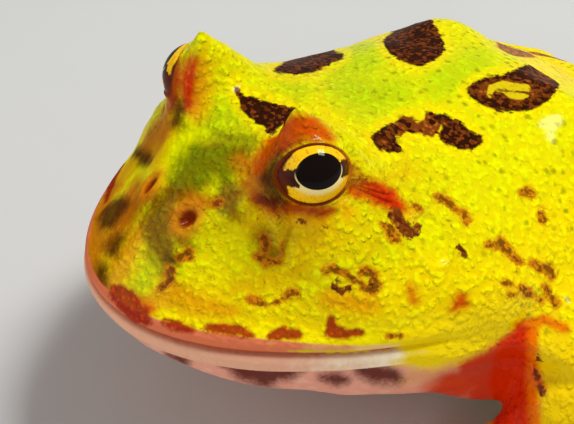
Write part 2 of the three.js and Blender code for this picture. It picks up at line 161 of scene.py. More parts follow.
def pebbles(p: Array, size: float, salt: int, share: float) -> Array:
    """Rounded pebbles from 0 to 1: bells round one jittered point in each lattice cell.

    Args:
        p: Points, mm.
        size: Side of the lattice's cells, mm.
        salt: Picks another set of pebbles.
        share: Share of the cells that hold one.

    Returns:
        The height of the highest pebble at each point.
    """
    q = p / size
    base = np.floor(q)
    best = np.zeros(len(p))
    smallest, more = PEBBLE_RADIUS
    for corner in np.ndindex(3, 3, 3):
        cell = base + np.array(corner) - 1
        seat = cell + np.stack([hashed(cell, salt + k) for k in (1, 2, 3)], 1)
        radius = smallest + more * hashed(cell, salt + 4)
        there = hashed(cell, salt + 5) < share
        d = np.linalg.norm(q - seat, axis=1) / radius
        best = np.maximum(best, np.where(there, bell(d) * radius / (smallest + more), 0.0))
    return best


def side_signs(p: Array) -> Array:
    """Factors that turn the right side's points over to the left, and back again."""
    return np.where(p[:, :1] < 0, [-1, 1, 1], [1, 1, 1])


def stroke_depth(p: Array, line: Array, half: Array) -> Array:
    """Highest (half width - distance) over a line's lengths, the half width eased along each.

    Args:
        p: Points, mm or pixels.
        line: The line's points.
        half: Half width at each of them.

    Returns:
        The depths.
    """
    best = np.full(len(p), FAR_OFF)
    for a, b, ra, rb in zip(line, line[1:], half, half[1:]):
        along = b - a
        t = np.clip((p - a) @ along / max(along @ along, TINY), 0, 1)
        off = np.linalg.norm(p - a - t[:, None] * along, axis=1)
        best = np.maximum(best, ra + (rb - ra) * t - off)
    return best


@dataclass
class Shell:
    """A closed surface: its points in millimetres and its faces."""

    points: Array
    faces: list[tuple[int, ...]]

    @staticmethod
    def from_rings(rings: Array, first: Array, last: Array) -> "Shell":
        """Rows of rings joined by quads, with a pole at each end.

        Args:
            rings: Points with the shape (rows, sides, 3), turning one way.
            first: Pole before the first row.
            last: Pole after the last row.

        Returns:
            The closed surface, with its faces outwards.
        """
        rows, sides, _ = rings.shape
        points = np.concatenate([[first], rings.reshape(-1, 3), [last]])
        at = 1 + np.arange(rows * sides).reshape(rows, sides)
        after = np.roll(at, -1, axis=1)
        quads = np.stack([at[:-1], at[1:], after[1:], after[:-1]], -1).reshape(-1, 4)
        start = np.stack([np.zeros(sides, int), at[0], after[0]], -1)
        end = np.stack([np.full(sides, len(points) - 1), after[-1], at[-1]], -1)
        shell = Shell(points, [tuple(f) for part in (quads, start, end) for f in part.tolist()])
        return shell.outwards()

    def outwards(self) -> "Shell":
        """Turn the faces over where the volume that they enclose is negative.

        Returns:
            The same surface.
        """
        centre = self.points.mean(0)
        tris = np.array([(f[0], f[i], f[i + 1]) for f in self.faces for i in range(1, len(f) - 1)])
        a, b, c = (self.points[tris[:, k]] - centre for k in range(3))
        if np.einsum("ij,ij->i", a, np.cross(b, c)).sum() < 0:
            self.faces = [f[::-1] for f in self.faces]
        return self

    def mirrored(self) -> "Shell":
        """The same surface on the other side of x = 0."""
        return Shell(self.points * [-1, 1, 1], [f[::-1] for f in self.faces])


def ball(centre: Array, radii: Triple, rows: int = 20, sides: int = 32) -> Shell:
    """Ellipsoid centre + radii * (cos a sin b, sin a sin b, cos b).

    Args:
        centre: Its middle, mm.
        radii: Its half sizes, mm.
        rows: Rows between the poles.
        sides: Points in a row.

    Returns:
        The closed surface.
    """
    b = np.linspace(0, np.pi, rows + 2)[1:-1, None]
    a = np.linspace(0, 2 * np.pi, sides, endpoint=False)[None, :]
    sphere = np.stack([np.cos(a) * np.sin(b), np.sin(a) * np.sin(b), np.cos(b) + 0 * a], -1)
    pole = np.array([0, 0, radii[2]])
    return Shell.from_rings(centre + sphere * radii, centre + pole, centre - pole)


@dataclass(frozen=True)
class Form:
    """A swelling or hollow: height * bell of the distance over the spreads, on both sides."""

    name: str
    at: Triple
    spread: Triple
    height: float

    def lift(self, p: Array) -> Array:
        """Its height at points of the left side."""
        return self.height * bell(np.linalg.norm((p - self.at) / self.spread, axis=-1))


@dataclass(frozen=True)
class Ridge:
    """A swelling or groove along a line: height * bell((d - at) / spread) at the distance d."""

    at: float
    spread: float
    height: float

    def lift(self, d: Array) -> Array:
        """Its height at the distances."""
        return self.height * bell((d - self.at) / self.spread)


class Station(NamedTuple):
    """A section of head and body, in millimetres."""

    y: float
    half_width: float  # 0 where the mouth's curve gives it
    top: float
    level: float  # height of the widest line
    underside: float
    square_above: float  # power of the superellipse above that line
    square_below: float


@dataclass
class Trunk:
    """Head and body without limbs: rounded sections carried from the snout to the vent."""

    snout_y: float = -53.6
    vent_y: float = 54.6
    jaw_half_width: float = 30.4
    jaw_angle_y: float = -9.5
    mouth_roundness: float = 1.95
    rows: int = 150
    sides: int = 132
    stations: tuple[Station, ...] = tuple(Station(*row) for row in (
        (-53.6, 0, 26.9, 26.5, 25.9, 2.0, 2.2),
        (-52.2, 0, 30.2, 26.4, 23.2, 1.5, 2.3),
        (-49.6, 0, 33.4, 26.2, 19.9, 1.3, 2.4),
        (-43, 0, 39.8, 25.9, 15.6, 1.18, 2.8),
        (-36, 0, 44.6, 25.5, 13.1, 1.32, 3.0),
        (-30, 0, 46.6, 24.9, 10.8, 1.6, 3.2),
        (-20, 0, 45.6, 23.4, 7.3, 1.7, 3.3),
        (-9.5, 30.4, 42.8, 21.7, 3.6, 1.7, 3.3),
        (0, 30.2, 41.4, 19.3, 1.0, 1.75, 3.0),
        (10, 32.0, 38.9, 16.8, -0.2, 1.85, 2.6),
        (20, 33.6, 33.0, 14.8, -0.7, 1.9, 2.5),
        (30, 33.4, 25.0, 13.0, -0.7, 1.95, 2.2),
        (40, 29.5, 18.2, 11.0, -0.5, 2.0, 2.2),
        (48, 21.6, 14.2, 9.6, 1.2, 2.0, 2.2),
        (52.6, 12.5, 12.0, 8.8, 4.0, 2.0, 2.2),
        (54.6, 2.0, 8.8, 8.0, 7.0, 2.0, 2.2),
    ))
    forms: tuple[Form, ...] = (
        Form("hollow between the eyes", (0, -31, 47), (5.5, 8, 9), -1.6),
        Form("brow ridge to the nostril", (8.2, -38.5, 42.5), (2.4, 5.5, 4), 1.2),
        Form("hollow before the eye", (14.5, -40, 37.5), (3.6, 4, 3.4), -1.3),
        Form("swelling round the eye", (16, -29.6, 41.5), (6.2, 6.6, 7), 4.2),
        Form("inner slope of the lid", (8, -29, 47), (3.6, 6.2, 6), 1.7),
        Form("cheek below the eye", (24, -30, 31), (7, 7, 4.5), 0.8),
        Form("jaw angle", (30, -12, 26), (6, 6, 6), 1.3),
        Form("ridge behind the eye", (18.5, -21, 42), (4, 5, 3.5), 0.9),
        Form("hollow of the nape", (0, -15, 45), (8, 6, 8), -1.0),
        Form("shoulder blade", (13, 13.5, 37), (6, 5, 7), 2.3),
        Form("chest beside the arm", (26, -10, 6), (7, 8, 7), 3.0),
        Form("hip", (8, 28, 28), (4.5, 7, 8), 1.0),
        Form("chin", (0, -50, 22), (7, 4, 4), 0.6),
    )

    def profile(self, measure: str, y: Array) -> Array:
        """A measure of the sections at y: the smooth curve through that field of the stations."""
        return curve_through(y, [s.y for s in self.stations], [getattr(s, measure) for s in self.stations])

    def level(self, y: Array) -> Array:
        """Height of the widest line at y, which is the mouth's line on the head."""
        return self.profile("level", y)

    def half_width(self, y: Array) -> Array:
        """Half width: round the mouth J (1 - m^P)^(1/P), and behind it the stations' own.

        Args:
            y: Places along the body, mm.

        Returns:
            The half width at each place.
        """
        m = np.clip((self.jaw_angle_y - y) / (self.jaw_angle_y - self.snout_y), 0, 1)
        mouth = self.jaw_half_width * (1 - m**self.mouth_roundness) ** (1 / self.mouth_roundness)
        return np.where(y >= self.jaw_angle_y, self.profile("half_width", y), mouth)

    def section(self, y: Array, a: Array) -> Array:
        """Superellipse (w sgn(c)|c|^(2/p), y, level + h sgn(s)|s|^(2/p)), c and s of the angle a.

        Args:
            y: Places along the body, mm.
            a: Angles round the section, 0 on the left side.

        Returns:
            The points, with a last axis of three.
        """
        c, s = np.cos(a), np.sin(a)
        level = self.level(y)
        power = 2 / np.where(s > 0, self.profile("square_above", y), self.profile("square_below", y))
        height = np.where(s > 0, self.profile("top", y) - level, level - self.profile("underside", y))
        x = self.half_width(y) * np.sign(c) * np.abs(c) ** power
        return np.stack([x, y + 0 * a, level + height * np.sign(s) * np.abs(s) ** power], -1)

    def lift(self, p: Array) -> Array:
        """Outward lift of points: the sum of the forms, the same on both sides."""
        left = np.stack([np.abs(p[..., 0]), p[..., 1], p[..., 2]], -1)
        return sum((form.lift(left) for form in self.forms), np.zeros(p.shape[:-1]))

    def normals(self, y: Array, a: Array) -> Array:
        """Normals of the sections' surface: slope along the body crossed with slope round it.

        Args:
            y: Places along the body, mm.
            a: Angles round the section.

        Returns:
            The unit normals, outwards on the left side.
        """
        ahead = self.section(y + SLOPE_STEP, a) - self.section(y - SLOPE_STEP, a)
        around = self.section(y, a + SLOPE_STEP) - self.section(y, a - SLOPE_STEP)
        return unit(np.cross(ahead, around))

    def seat(self, y: float, degrees: float) -> tuple[Array, Array]:
        """A place on the left side of the lifted surface.

        Args:
            y: Its place along the body, mm.
            degrees: Its angle round the section.

        Returns:
            The point and its outward normal.
        """
        at, a = np.array(y), np.array(np.radians(degrees))
        point, normal = self.section(at, a), self.normals(at, a)
        normal = normal * np.sign(normal[0])
        return point + normal * self.lift(point[None])[0], normal

    def shell(self) -> Shell:
        """The whole surface: the sections moved outwards by the forms' lift.

        Returns:
            The closed surface, finer towards the snout and the vent.
        """
        t = np.linspace(0, np.pi, self.rows + 2)[1:-1, None]
        middle = (self.snout_y + self.vent_y) / 2
        y = middle - np.cos(t) * (self.vent_y - self.snout_y) / 2
        a = np.linspace(0, 2 * np.pi, self.sides, endpoint=False)[None, :]
        y, a = np.broadcast_arrays(y, a)
        points = self.section(y, a)
        points = points + self.normals(y, a) * self.lift(points)[..., None]
        ends = (np.array([0, end, float(self.level(np.array(end)))]) for end in (self.snout_y, self.vent_y))
        return Shell.from_rings(points, *ends)


@dataclass
class Lid:
    """The upper lid of an eye, drawn up into a soft horn, and the opening between the lids."""

    tip: Triple = (10.7, -30.6, 54.0)
    root: Triple = (11.4, -27.8, 42.5)
    half_width: float = 6.6
    half_length: float = 7.8
    cover: float = 0.75  # thickness of the lids over the eyeball
    margin: float = 0.3  # thickness of the lids at their free edge
    opening_half_length: float = 4.25
    opening_half_height: float = 3.4
    opening_drop: float = 0.3  # how far the opening's middle lies under the gaze
    peak_rise: float = 0.95  # the horn's sharp peak over its rounded top
    peak_spread: float = 1.7
    peak_from: Span = (47, 50)  # heights between which the peak begins
    taper: float = 1.15  # power by which the wedge narrows
    top_share: float = 0.97  # share of the way to the tip at which the wedge is closed
    rows: int = 24
    sides: int = 40
    floor_depth: float = 0.9  # of the opening's floor under the eyeball's surface
    reach: float = 12.0  # from the eye's centre to what the opening may move
    # shares of the opening's ellipse between which its wall, rim and folds begin or end
    wall_share: Span = (0.99, 1.06)
    rim_share: Span = (1.05, 1.5)
    fold_from: Span = (1.1, 1.2)
    fold_to: Span = (2.0, 1.5)
    fold_start: float = 1.12
    fold_length: float = 0.16
    fold_height: float = 0.05
    fold_in_front: float = 0.35  # height of the folds before the eye over that behind it
    fold_back: Span = (-0.3, 0.5)  # y from the eye's centre, in eye radii

    def shells(self) -> list[Shell]:
        """A leaning wedge of ellipses that shrink as 1 - t^taper, and a ball round the eyeball.

        Returns:
            The left lid's closed surfaces.
        """
        t = np.linspace(0, 1, self.rows)[:, None] * self.top_share
        share = 1 - t**self.taper
        a = np.linspace(0, 2 * np.pi, self.sides, endpoint=False)[None, :]
        root, tip = np.array(self.root), np.array(self.tip)
        centre = root + (tip - root) * t[..., None]
        ring = np.stack([self.half_width * share * np.cos(a), self.half_length * share * np.sin(a),
                         0 * share * a], -1)
        size = EYE_RADIUS + self.cover
        return [Shell.from_rings(centre + ring, root, tip), ball(EYE_CENTRE, (size, size, size))]

    def peak(self, left: Array) -> Array:
        """Rise of the horn's peak: a bell of the distance from the tip, on top of the lid only."""
        beside = np.linalg.norm((left - self.tip)[:, :2], axis=1)
        return self.peak_rise * bell(beside / self.peak_spread) * ease(*self.peak_from, left[:, 2])

    def opening(self, p: Array) -> tuple[Array, Array]:
        """Where points lie to the left eye's opening.

        Args:
            p: Points, mm.

        Returns:
            Ellipse share, 1 on the lids' margin and less inside it, and the distance from
            the eye's centre.
        """
        gaze = unit(GAZE)
        along = unit(np.cross([0, 0, 1], gaze))
        rise = np.cross(gaze, along)
        from_centre = p - EYE_CENTRE
        distance = np.linalg.norm(from_centre, axis=1)
        direction = unit(from_centre) * EYE_RADIUS
        share = np.hypot(direction @ along / self.opening_half_length,
                         (direction @ rise + self.opening_drop) / self.opening_half_height)
        behind = direction @ gaze < 0
        return np.where(behind, 2 + 0 * share, share), distance

    def opened(self, left: Array) -> Array:
        """Points round the eye: sunk behind the eyeball in the opening, a thin rim at its margin.

        A point's distance from the eye's centre goes from below the eyeball's radius to just
        over it as its ellipse share passes 1, then back to its own distance, with fine folds
        -height sin(2 pi (share - start) / length).

        Args:
            left: The points, those of the right side turned over to the left.

        Returns:
            The moved points.
        """
        share, distance = self.opening(left)
        towards = left - EYE_CENTRE
        sunk, rim = EYE_RADIUS - self.floor_depth, EYE_RADIUS + self.margin
        outer = rim + (distance - rim) * ease(*self.rim_share, share)
        wall = ease(*self.wall_share, share)
        behind = ease(*self.fold_back, towards[:, 1] / EYE_RADIUS)
        fold = np.sin((share - self.fold_start) * 2 * np.pi / self.fold_length)
        fold *= ease(*self.fold_from, share) * ease(*self.fold_to, share)
        least = self.fold_in_front
        height = self.fold_height * (least + (1 - least) * behind)
        radial = sunk + (np.minimum(distance, outer) - sunk) * wall - height * fold
        moved = EYE_CENTRE + unit(towards) * radial[:, None]
        inside = (distance < self.reach) & (share < self.fold_to[0])
        return np.where(inside[:, None], moved, left)


@dataclass
class Limb:
    """A length of leg or a digit: an elliptical section carried along a smooth path."""

    path: tuple[Triple, ...]
    radii: tuple[float, ...]
    wide: float = 1.0
    up: Triple = (0, 0, 1)
    rows: int = 26
    sides: int = 26
    cap_rows: int = 6
    cap_share: float = 0.96  # how far an end's half ball goes on to its pole
    step: float = 1e-3  # share of the path over which its direction is taken

    def centre(self, t: Array) -> Array:
        """Points of the path: a smooth curve through its own points.

        Args:
            t: Shares of the path.

        Returns:
            The points.
        """
        path = np.array(self.path)
        knots = np.linspace(0, 1, len(path))
        return np.stack([curve_through(t, knots, path[:, k]) for k in range(3)], -1)

    def radius(self, t: Array) -> Array:
        """Radius at the share t of the path."""
        return curve_through(t, np.linspace(0, 1, len(self.radii)), np.array(self.radii))

    def shell(self) -> Shell:
        """Points centre + r (wide cos a side + sin a rise), with a half ball at each end.

        Returns:
            The closed surface.
        """
        before, body, after = np.zeros(self.cap_rows), np.linspace(0, 1, self.rows), np.ones(self.cap_rows)
        t = np.concatenate([before, body, after])
        cap = np.linspace(0, np.pi / 2, self.cap_rows + 1)[:-1]
        bend = np.concatenate([np.pi / 2 - cap, 0 * body, cap + cap[1]])
        bend = np.clip(bend, 0, np.pi / 2 * self.cap_share)
        sign = np.concatenate([-after, 0 * body, after])
        ahead, behind = np.clip(t + self.step, 0, 1), np.clip(t - self.step, 0, 1)
        tangent = unit(self.centre(ahead) - self.centre(behind))
        side = unit(np.cross(tangent, np.array(self.up, float)))
        rise = np.cross(side, tangent)
        radius = self.radius(t)
        centre = self.centre(t) + tangent * (sign * np.sin(bend) * radius)[:, None]
        radius = (radius * np.cos(bend))[:, None, None]
        a = np.linspace(0, 2 * np.pi, self.sides, endpoint=False)[None, :, None]
        across, up = self.wide * np.cos(a) * side[:, None], np.sin(a) * rise[:, None]
        first = self.centre(np.zeros(1))[0] - tangent[0] * self.radii[0]
        last = self.centre(np.ones(1))[0] + tangent[-1] * self.radii[-1]
        return Shell.from_rings(centre[:, None] + radius * across + radius * up, first, last)


@dataclass
class Digits:
    """The fingers of a hand or the toes of a foot, fanned out from one place."""

    root: Triple
    spread: float
    radius: float
    tip: float
    headings: tuple[float, ...]
    lengths: tuple[float, ...]
    joints: tuple[float, ...] = (0, 0.35, 0.7, 1.0)  # shares of the length
    droop: float = 0.3  # rise of the outer roots over their distance from the middle
    knuckle_rise: float = 0.25
    joint_drop: float = 0.1
    tip_drop: float = 0.3
    swelling: tuple[float, ...] = (1.15, 1.0, 0.84, 0.92)  # of the radius, from the root on
    tip_swelling: tuple[float, ...] = (0.96, 1.0)  # of the tip's radius
    wide: float = 1.05
    rows: int = 18
    sides: int = 18

    def paths(self) -> list[Array]:
        """Each digit's path: its root, knuckle, last joint and tip, low over the floor.

        Returns:
            The points of each path, mm.
        """
        heights = [self.radius + self.knuckle_rise, self.radius - self.joint_drop, self.tip - self.tip_drop]
        made = []
        for i, (heading, length) in enumerate(zip(np.radians(self.headings), self.lengths)):
            along = np.array([np.sin(heading), -np.cos(heading), 0])
            across = (i - (len(self.headings) - 1) / 2) * self.spread
            root = np.array(self.root) + [across, abs(across) * self.droop, 0]
            path = root + along * np.array(self.joints)[:, None] * length
            path[1:, 2] = heights
            made.append(path)
        return made

    def shells(self) -> list[Shell]:
        """Each digit as a limb that swells a little at its joint and at its blunt tip.

        Returns:
            The digits' closed surfaces.
        """
        radii = (*(self.radius * k for k in self.swelling), *(self.tip * k for k in self.tip_swelling))
        return [Limb(tuple(map(tuple, path)), radii, self.wide, rows=self.rows, sides=self.sides).shell()
                for path in self.paths()]


@dataclass
class Web:
    """Skin between two neighbouring toes, a thin sheet with a hollowed free edge."""

    reach: float = 0.52
    dip: float = 0.36
    thickness: float = 1.5
    sag: float = 0.75  # height of the sheet over that of the toes
    lowest: float = 0.8
    rows: int = 12
    sides: int = 10

    def shell(self, a: Array, b: Array) -> Shell:
        """Points between the two toes' paths, up to reach * (1 - dip sin(pi s)) of them.

        Args:
            a: Path of one toe.
            b: Path of the next toe.

        Returns:
            The closed sheet.
        """
        along = np.linspace(0, 1, self.rows)[:, None]
        across = np.linspace(0, 1, self.sides)[None, :]
        share = self.reach * (1 - self.dip * np.sin(np.pi * across)) * along
        knots = np.linspace(0, 1, len(a))
        one, two = (np.stack([np.interp(share, knots, path[:, k]) for k in range(3)], -1)
                    for path in (a, b))
        sheet = one + (two - one) * across[..., None]
        sheet[..., 2] = np.maximum(sheet[..., 2] * self.sag, self.lowest)
        lift = np.array([0, 0, self.thickness / 2])
        rings = np.concatenate([sheet + lift, (sheet - lift)[:, ::-1]], axis=1)
        return Shell.from_rings(rings, rings[0].mean(0), rings[-1].mean(0))


@dataclass
class Limbs:
    """The four legs, told for the left side and mirrored."""

    arm: tuple[Limb, ...] = (
        Limb(((20, -1, 19), (29, -2.6, 16), (34.6, -2.6, 11.6)), (7.6, 7.6, 6.6), up=(0, 1, 0)),
        Limb(((34.6, -2.8, 11.4), (35.2, -6.4, 7.8), (34.4, -9.8, 4.7)), (6.5, 6.2, 4.3), up=(1, 0, 0)),
        Limb(((34.4, -9, 4.7), (34.2, -12, 3.4), (33.8, -15, 2.6)), (4.0, 3.7, 2.9), 1.35),
    )
    leg: tuple[Limb, ...] = (
        Limb(((8, 40, 9.4), (21.5, 33, 9.8), (34.2, 21.5, 9.2)), (8.8, 9.2, 6.8)),
        Limb(((34.6, 22, 8.8), (34.6, 33, 8.2), (28.4, 45.6, 6.6)), (6.1, 6.3, 4.5)),
        Limb(((29.6, 48, 4.7), (36, 44, 4.1), (41.2, 37, 3.6)), (4.4, 4.0, 3.6), 1.1),
        Limb(((41, 37.4, 3.5), (43.2, 32, 3.0), (44.2, 26.5, 2.4)), (3.5, 3.4, 2.5), 1.6),
    )
    fingers: Digits = field(default_factory=lambda: Digits(
        (34.2, -14.6, 2.3), 2.4, 2.1, 1.5, (-42, -20, 3, 32), (8.5, 10, 11.5, 9)))
    toes: Digits = field(default_factory=lambda: Digits(
        (44, 27.5, 2.1), 2.2, 1.95, 1.35, (-48, -29, -14, -1, 13), (8, 11, 14.5, 18, 13.5)))
    web: Web = field(default_factory=Web)
    spur: Triple = (38.6, 34.5, 1.9)
    spur_radii: Triple = (1.6, 3.4, 1.9)

    def shells(self) -> list[Shell]:
        """All four legs with their digits, webs and spurs.

        Returns:
            Their closed surfaces.
        """
        left = [limb.shell() for limb in (*self.arm, *self.leg)]
        left += self.fingers.shells() + self.toes.shells()
        paths = self.toes.paths()
        left += [self.web.shell(a, b) for a, b in zip(paths, paths[1:])]
        left.append(ball(np.array(self.spur), self.spur_radii, rows=8, sides=14))
        return left + [shell.mirrored() for shell in left]


@dataclass
class Viewpoint:
    """The photograph's camera, told in the frog's frame, in millimetres and pixels."""

    azimuth: float = 55.7
    elevation: float = 38.1
    roll: float = -1.7
    distance: float = 233.0
    focal: float = 1803.0
    target: Triple = (7.1, -29.9, 34.7)
    sensor_width: float = 36.0
    nearest: float = 0.01  # start of what the camera sees, metres

    def axes(self) -> tuple[Array, Array, Array]:
        """Directions of the camera, from its azimuth, elevation and roll.

        Returns:
            Its right, up and back.
        """
        az, el, roll = np.radians([self.azimuth, self.elevation, self.roll])
        back = np.array([np.cos(el) * np.sin(az), -np.cos(el) * np.cos(az), np.sin(el)])
        right = np.array([np.cos(az), np.sin(az), 0.0])
        up = np.cross(back, right)
        return (np.cos(roll) * right + np.sin(roll) * up,
                np.cos(roll) * up - np.sin(roll) * right, back)

    def place(self) -> Array:
        """Where the camera stands."""
        return np.array(self.target) + self.axes()[2] * self.distance

    def pixels(self, p: Array) -> tuple[Array, Array]:
        """Where points stand in the photograph's frame: focal / depth times across and down.

        Args:
            p: Points, mm.

        Returns:
            Their pixels, and the pixels in a millimetre at each.
        """
        right, up, back = self.axes()
        away = p - self.place()
        scale = self.focal / -(away @ back)
        return np.stack([FRAME_SIZE[0] / 2 + scale * (away @ right),
                         FRAME_SIZE[1] / 2 - scale * (away @ up)], 1), scale

    def ray(self, pixel: Span) -> Array:
        """Direction from the camera through a pixel: right * x - up * y - back.

        Args:
            pixel: Its place in the photograph's frame.

        Returns:
            The unit direction.
        """
        right, up, back = self.axes()
        across, down = ((pixel[k] - FRAME_SIZE[k] / 2) / self.focal for k in (0, 1))
        return unit(right * across - up * down - back)

    def build(self, shift: Array) -> None:
        """Add the camera and make it the scene's.

        Args:
            shift: Move from the frog's frame to the part's, mm.
        """
        right, up, back = self.axes()
        data = bpy.data.cameras.new("camera")
        data.sensor_width = self.sensor_width
        data.lens = self.focal * self.sensor_width / FRAME_SIZE[0]
        data.clip_start = self.nearest
        camera = bpy.data.objects.new("camera", data)
        matrix = Matrix.Identity(4)
        for k, axis in enumerate((right, up, back, (self.place() + shift) * METRE)):
            for row in range(3):
                matrix[row][k] = axis[row]
        camera.matrix_world = matrix
        bpy.context.collection.objects.link(camera)
        bpy.context.scene.camera = camera


class Seen(Enum):
    """From where the places of a mark are told."""

    PHOTO = "pixels of the photograph's frame"
    ABOVE = "x and y, mm"
    LEFT = "y and z on the left side, mm"
    RIGHT = "y and z on the right side, mm"


class Ink(Enum):
    """The colours of the skin's marks, from the lowest layer to the highest."""

    LIME = "fresh lime"
    HONEY = "warm yellow"
    GOLD = "dull gold"
    GREEN = "leaf green"
    OLIVE = "olive brown"
    TAN = "brown orange"
    ORANGE = "orange"
    RUSSET = "red brown"
    SCARLET = "red orange"
    UMBER = "dark brown shade"
    PINK = "pink of a fold"
    RED = "red of the chest"
    MAROON = "dark clouds of the throat"
    YELLOW = "yellow edge of the jaw"
    APRICOT = "orange along the arm's front"
    EMBER = "deep red orange along the arm's front"
    AMBER = "orange-brown granules"
    BROWN = "dark brown granules"
    RUST = "rust-red patches"
    CREAM = "light scrolls in a dark blotch"

    @property
    def layer(self) -> str:
        """The mesh's attribute that holds the ink's depths."""
        return self.name.lower()


@dataclass(frozen=True)
class Mark:
    """A mark of the skin: places along it, each with a half width in millimetres."""

    ink: Ink
    seen: Seen
    places: tuple[Triple, ...]


@dataclass(frozen=True)
class Blotch:
    """A large mark told by its outline, in pixels of the photograph's frame."""

    ink: Ink
    outline: tuple[Span, ...]


def strokes(ink: Ink, seen: Seen, *lines: tuple[Triple, ...]) -> tuple[Mark, ...]:
    """Several marks of one ink, all told from one side."""
    return tuple(Mark(ink, seen, line) for line in lines)


BLOTCHES: tuple[Blotch, ...] = (
    # across the near lid's inner slope
    Blotch(Ink.BROWN, (
        (233, 83), (238, 88), (243, 95), (258, 99), (280, 105), (297, 109), (304, 118), (296, 118),
        (289, 122), (278, 129), (271, 136), (266, 131), (264, 127), (255, 123), (240, 107), (237, 97))),
    # two on the skyline
    Blotch(Ink.BROWN, (
        (273, 71), (284, 62), (297, 56), (312, 51), (330, 46), (336, 52), (345, 53), (343, 58),
        (325, 67), (315, 72), (300, 75), (283, 74))),
    Blotch(Ink.BROWN, (
        (382, 40), (396, 30), (412, 20), (428, 15), (437, 28), (444, 41), (445, 50), (436, 60),
        (419, 67), (402, 62), (391, 54), (384, 47))),
    # two lobes joined by a bridge
    Blotch(Ink.BROWN, (
        (371, 138), (376, 131), (385, 125), (394, 123), (399, 129), (396, 139), (403, 152), (390, 153),
        (378, 149))),
    Blotch(Ink.AMBER, (
        (390, 126), (403, 115), (411, 116), (417, 121), (424, 119), (426, 111), (446, 114), (440, 130),
        (432, 139), (420, 134), (407, 133), (396, 140))),
    Blotch(Ink.BROWN, (
        (430, 118), (440, 112), (451, 117), (463, 123), (474, 133), (484, 137), (483, 143), (474, 150),
        (458, 149), (446, 144), (437, 136), (443, 126))),
    # almond with scrolls
    Blotch(Ink.BROWN, (
        (464, 92), (471, 84), (485, 77), (505, 74), (518, 68), (527, 64), (550, 64), (568, 68),
        (563, 80), (552, 97), (541, 106), (522, 112), (500, 112), (484, 107), (472, 98))),
)

INNER_BLOTCHES: tuple[Blotch, ...] = (
    Blotch(Ink.AMBER, (
        (474, 93), (482, 84), (495, 79), (520, 76), (535, 72), (556, 70), (557, 80), (546, 92),
        (533, 99), (515, 102), (495, 101), (482, 98))),
    Blotch(Ink.AMBER, (
        (377, 139), (384, 131), (393, 128), (394, 137), (388, 146), (380, 145))),
    Blotch(Ink.AMBER, (
        (440, 121), (449, 120), (458, 127), (450, 130), (442, 128))),
)

FRONT_MARKS: tuple[Mark, ...] = (
    *strokes(Ink.CREAM, Seen.PHOTO,
        ((489, 96, 0.3), (492, 88, 0.5), (503, 84, 0.5), (514, 87, 0.5), (527, 88, 0.5)),
        ((505, 93, 0.25), (514, 96, 0.45), (526, 96, 0.4)),
        ((288, 351, 0.12), (335, 352, 0.2), (388, 351, 0.12))),
    *strokes(Ink.BROWN, Seen.PHOTO,
        ((265, 238, 0.5), (265, 248, 0.55)), ((257, 257, 0.4), (268, 263, 0.5), (279, 262, 0.35)),
        ((283, 246, 0.3), (288, 253, 0.5)),
        ((325, 270, 0.3), (335, 270, 0.42), (343, 272, 0.42), (352, 278, 0.42), (358, 282, 0.35)),
        ((361, 273, 0.42), (367, 270, 0.45), (374, 276, 0.5), (377, 285, 0.45), (374, 290, 0.4),
         (365, 289, 0.4), (361, 283, 0.35)),
        ((250, 299, 0.4), (256, 301, 0.5), (264, 304, 0.25)), ((275, 303, 0.2), (286, 298, 0.25)),
        ((287, 296, 0.3), (291, 293, 0.5), (297, 294, 0.4)),
        ((388, 226, 0.6), (393, 235, 0.85), (398, 240, 0.4)), ((415, 205, 0.3), (419, 209, 0.4)),
        ((436, 196, 0.35), (445, 200, 0.5), (452, 206, 0.35), (458, 212, 0.2)),
        ((463, 213, 0.42), (467, 221, 0.42)), ((180, 257, 0.5), (187, 255, 0.8)),
        ((171, 269, 0.5), (169, 281, 0.6), (160, 290, 0.35)), ((214, 205, 0.3), (219, 203, 0.4))),
    *strokes(Ink.BROWN, Seen.PHOTO,
        ((489, 245, 0.5), (496, 245, 0.45)), ((501, 242, 0.5), (506, 249, 0.6), (511, 253, 0.45)),
        ((515, 258, 0.45), (518, 262, 0.45)), ((533, 263, 0.4), (540, 268, 0.6)),
        ((547, 266, 0.5), (553, 276, 0.45)), ((505, 283, 0.35), (510, 284, 0.35)),
        ((509, 294, 0.3), (513, 295, 0.3)), ((522, 287, 0.4), (530, 295, 0.45)),
        ((545, 288, 0.4), (548, 294, 0.5)), ((538, 302, 0.35), (541, 301, 0.35)),
        ((554, 299, 0.4), (556, 304, 0.35)), ((522, 192, 0.4), (527, 191, 0.6), (532, 195, 0.4)),
        ((541, 213, 0.45), (543, 220, 0.5))),
    *strokes(Ink.AMBER, Seen.PHOTO,
        ((338, 280, 0.25), (335, 286, 0.4), (341, 292, 0.55), (348, 288, 0.4)),
        ((369, 279, 0.3), (371, 284, 0.35)),
        ((394, 214, 0.9), (402, 226, 0.9), (411, 234, 0.8), (418, 226, 0.5)),
        ((458, 246, 0.35), (463, 252, 0.45), (466, 258, 0.35)), ((300, 221, 0.3), (305, 223, 0.35)),
        ((322, 225, 0.3), (325, 227, 0.3)), ((537, 357, 0.35), (540, 360, 0.35)),
        ((534, 368, 0.3), (538, 378, 0.4)), ((541, 386, 0.4), (543, 393, 0.4))),
    *strokes(Ink.RUST, Seen.PHOTO,
        ((117, 292, 1), (127, 300, 1.4), (138, 313, 1.2), (147, 321, 0.6)),
        ((165, 322, 0.4), (178, 326, 0.7), (192, 330, 0.45)),
        ((205, 328, 0.4), (222, 328, 0.75), (238, 330, 0.75), (251, 336, 0.35)),
        ((272, 336, 0.6), (284, 333, 0.8), (297, 334, 0.7)),
        ((331, 319, 0.5), (332, 332, 0.9), (346, 334, 0.75), (361, 332, 0.4)),
        ((387, 337, 0.35), (399, 335, 0.35))),
)

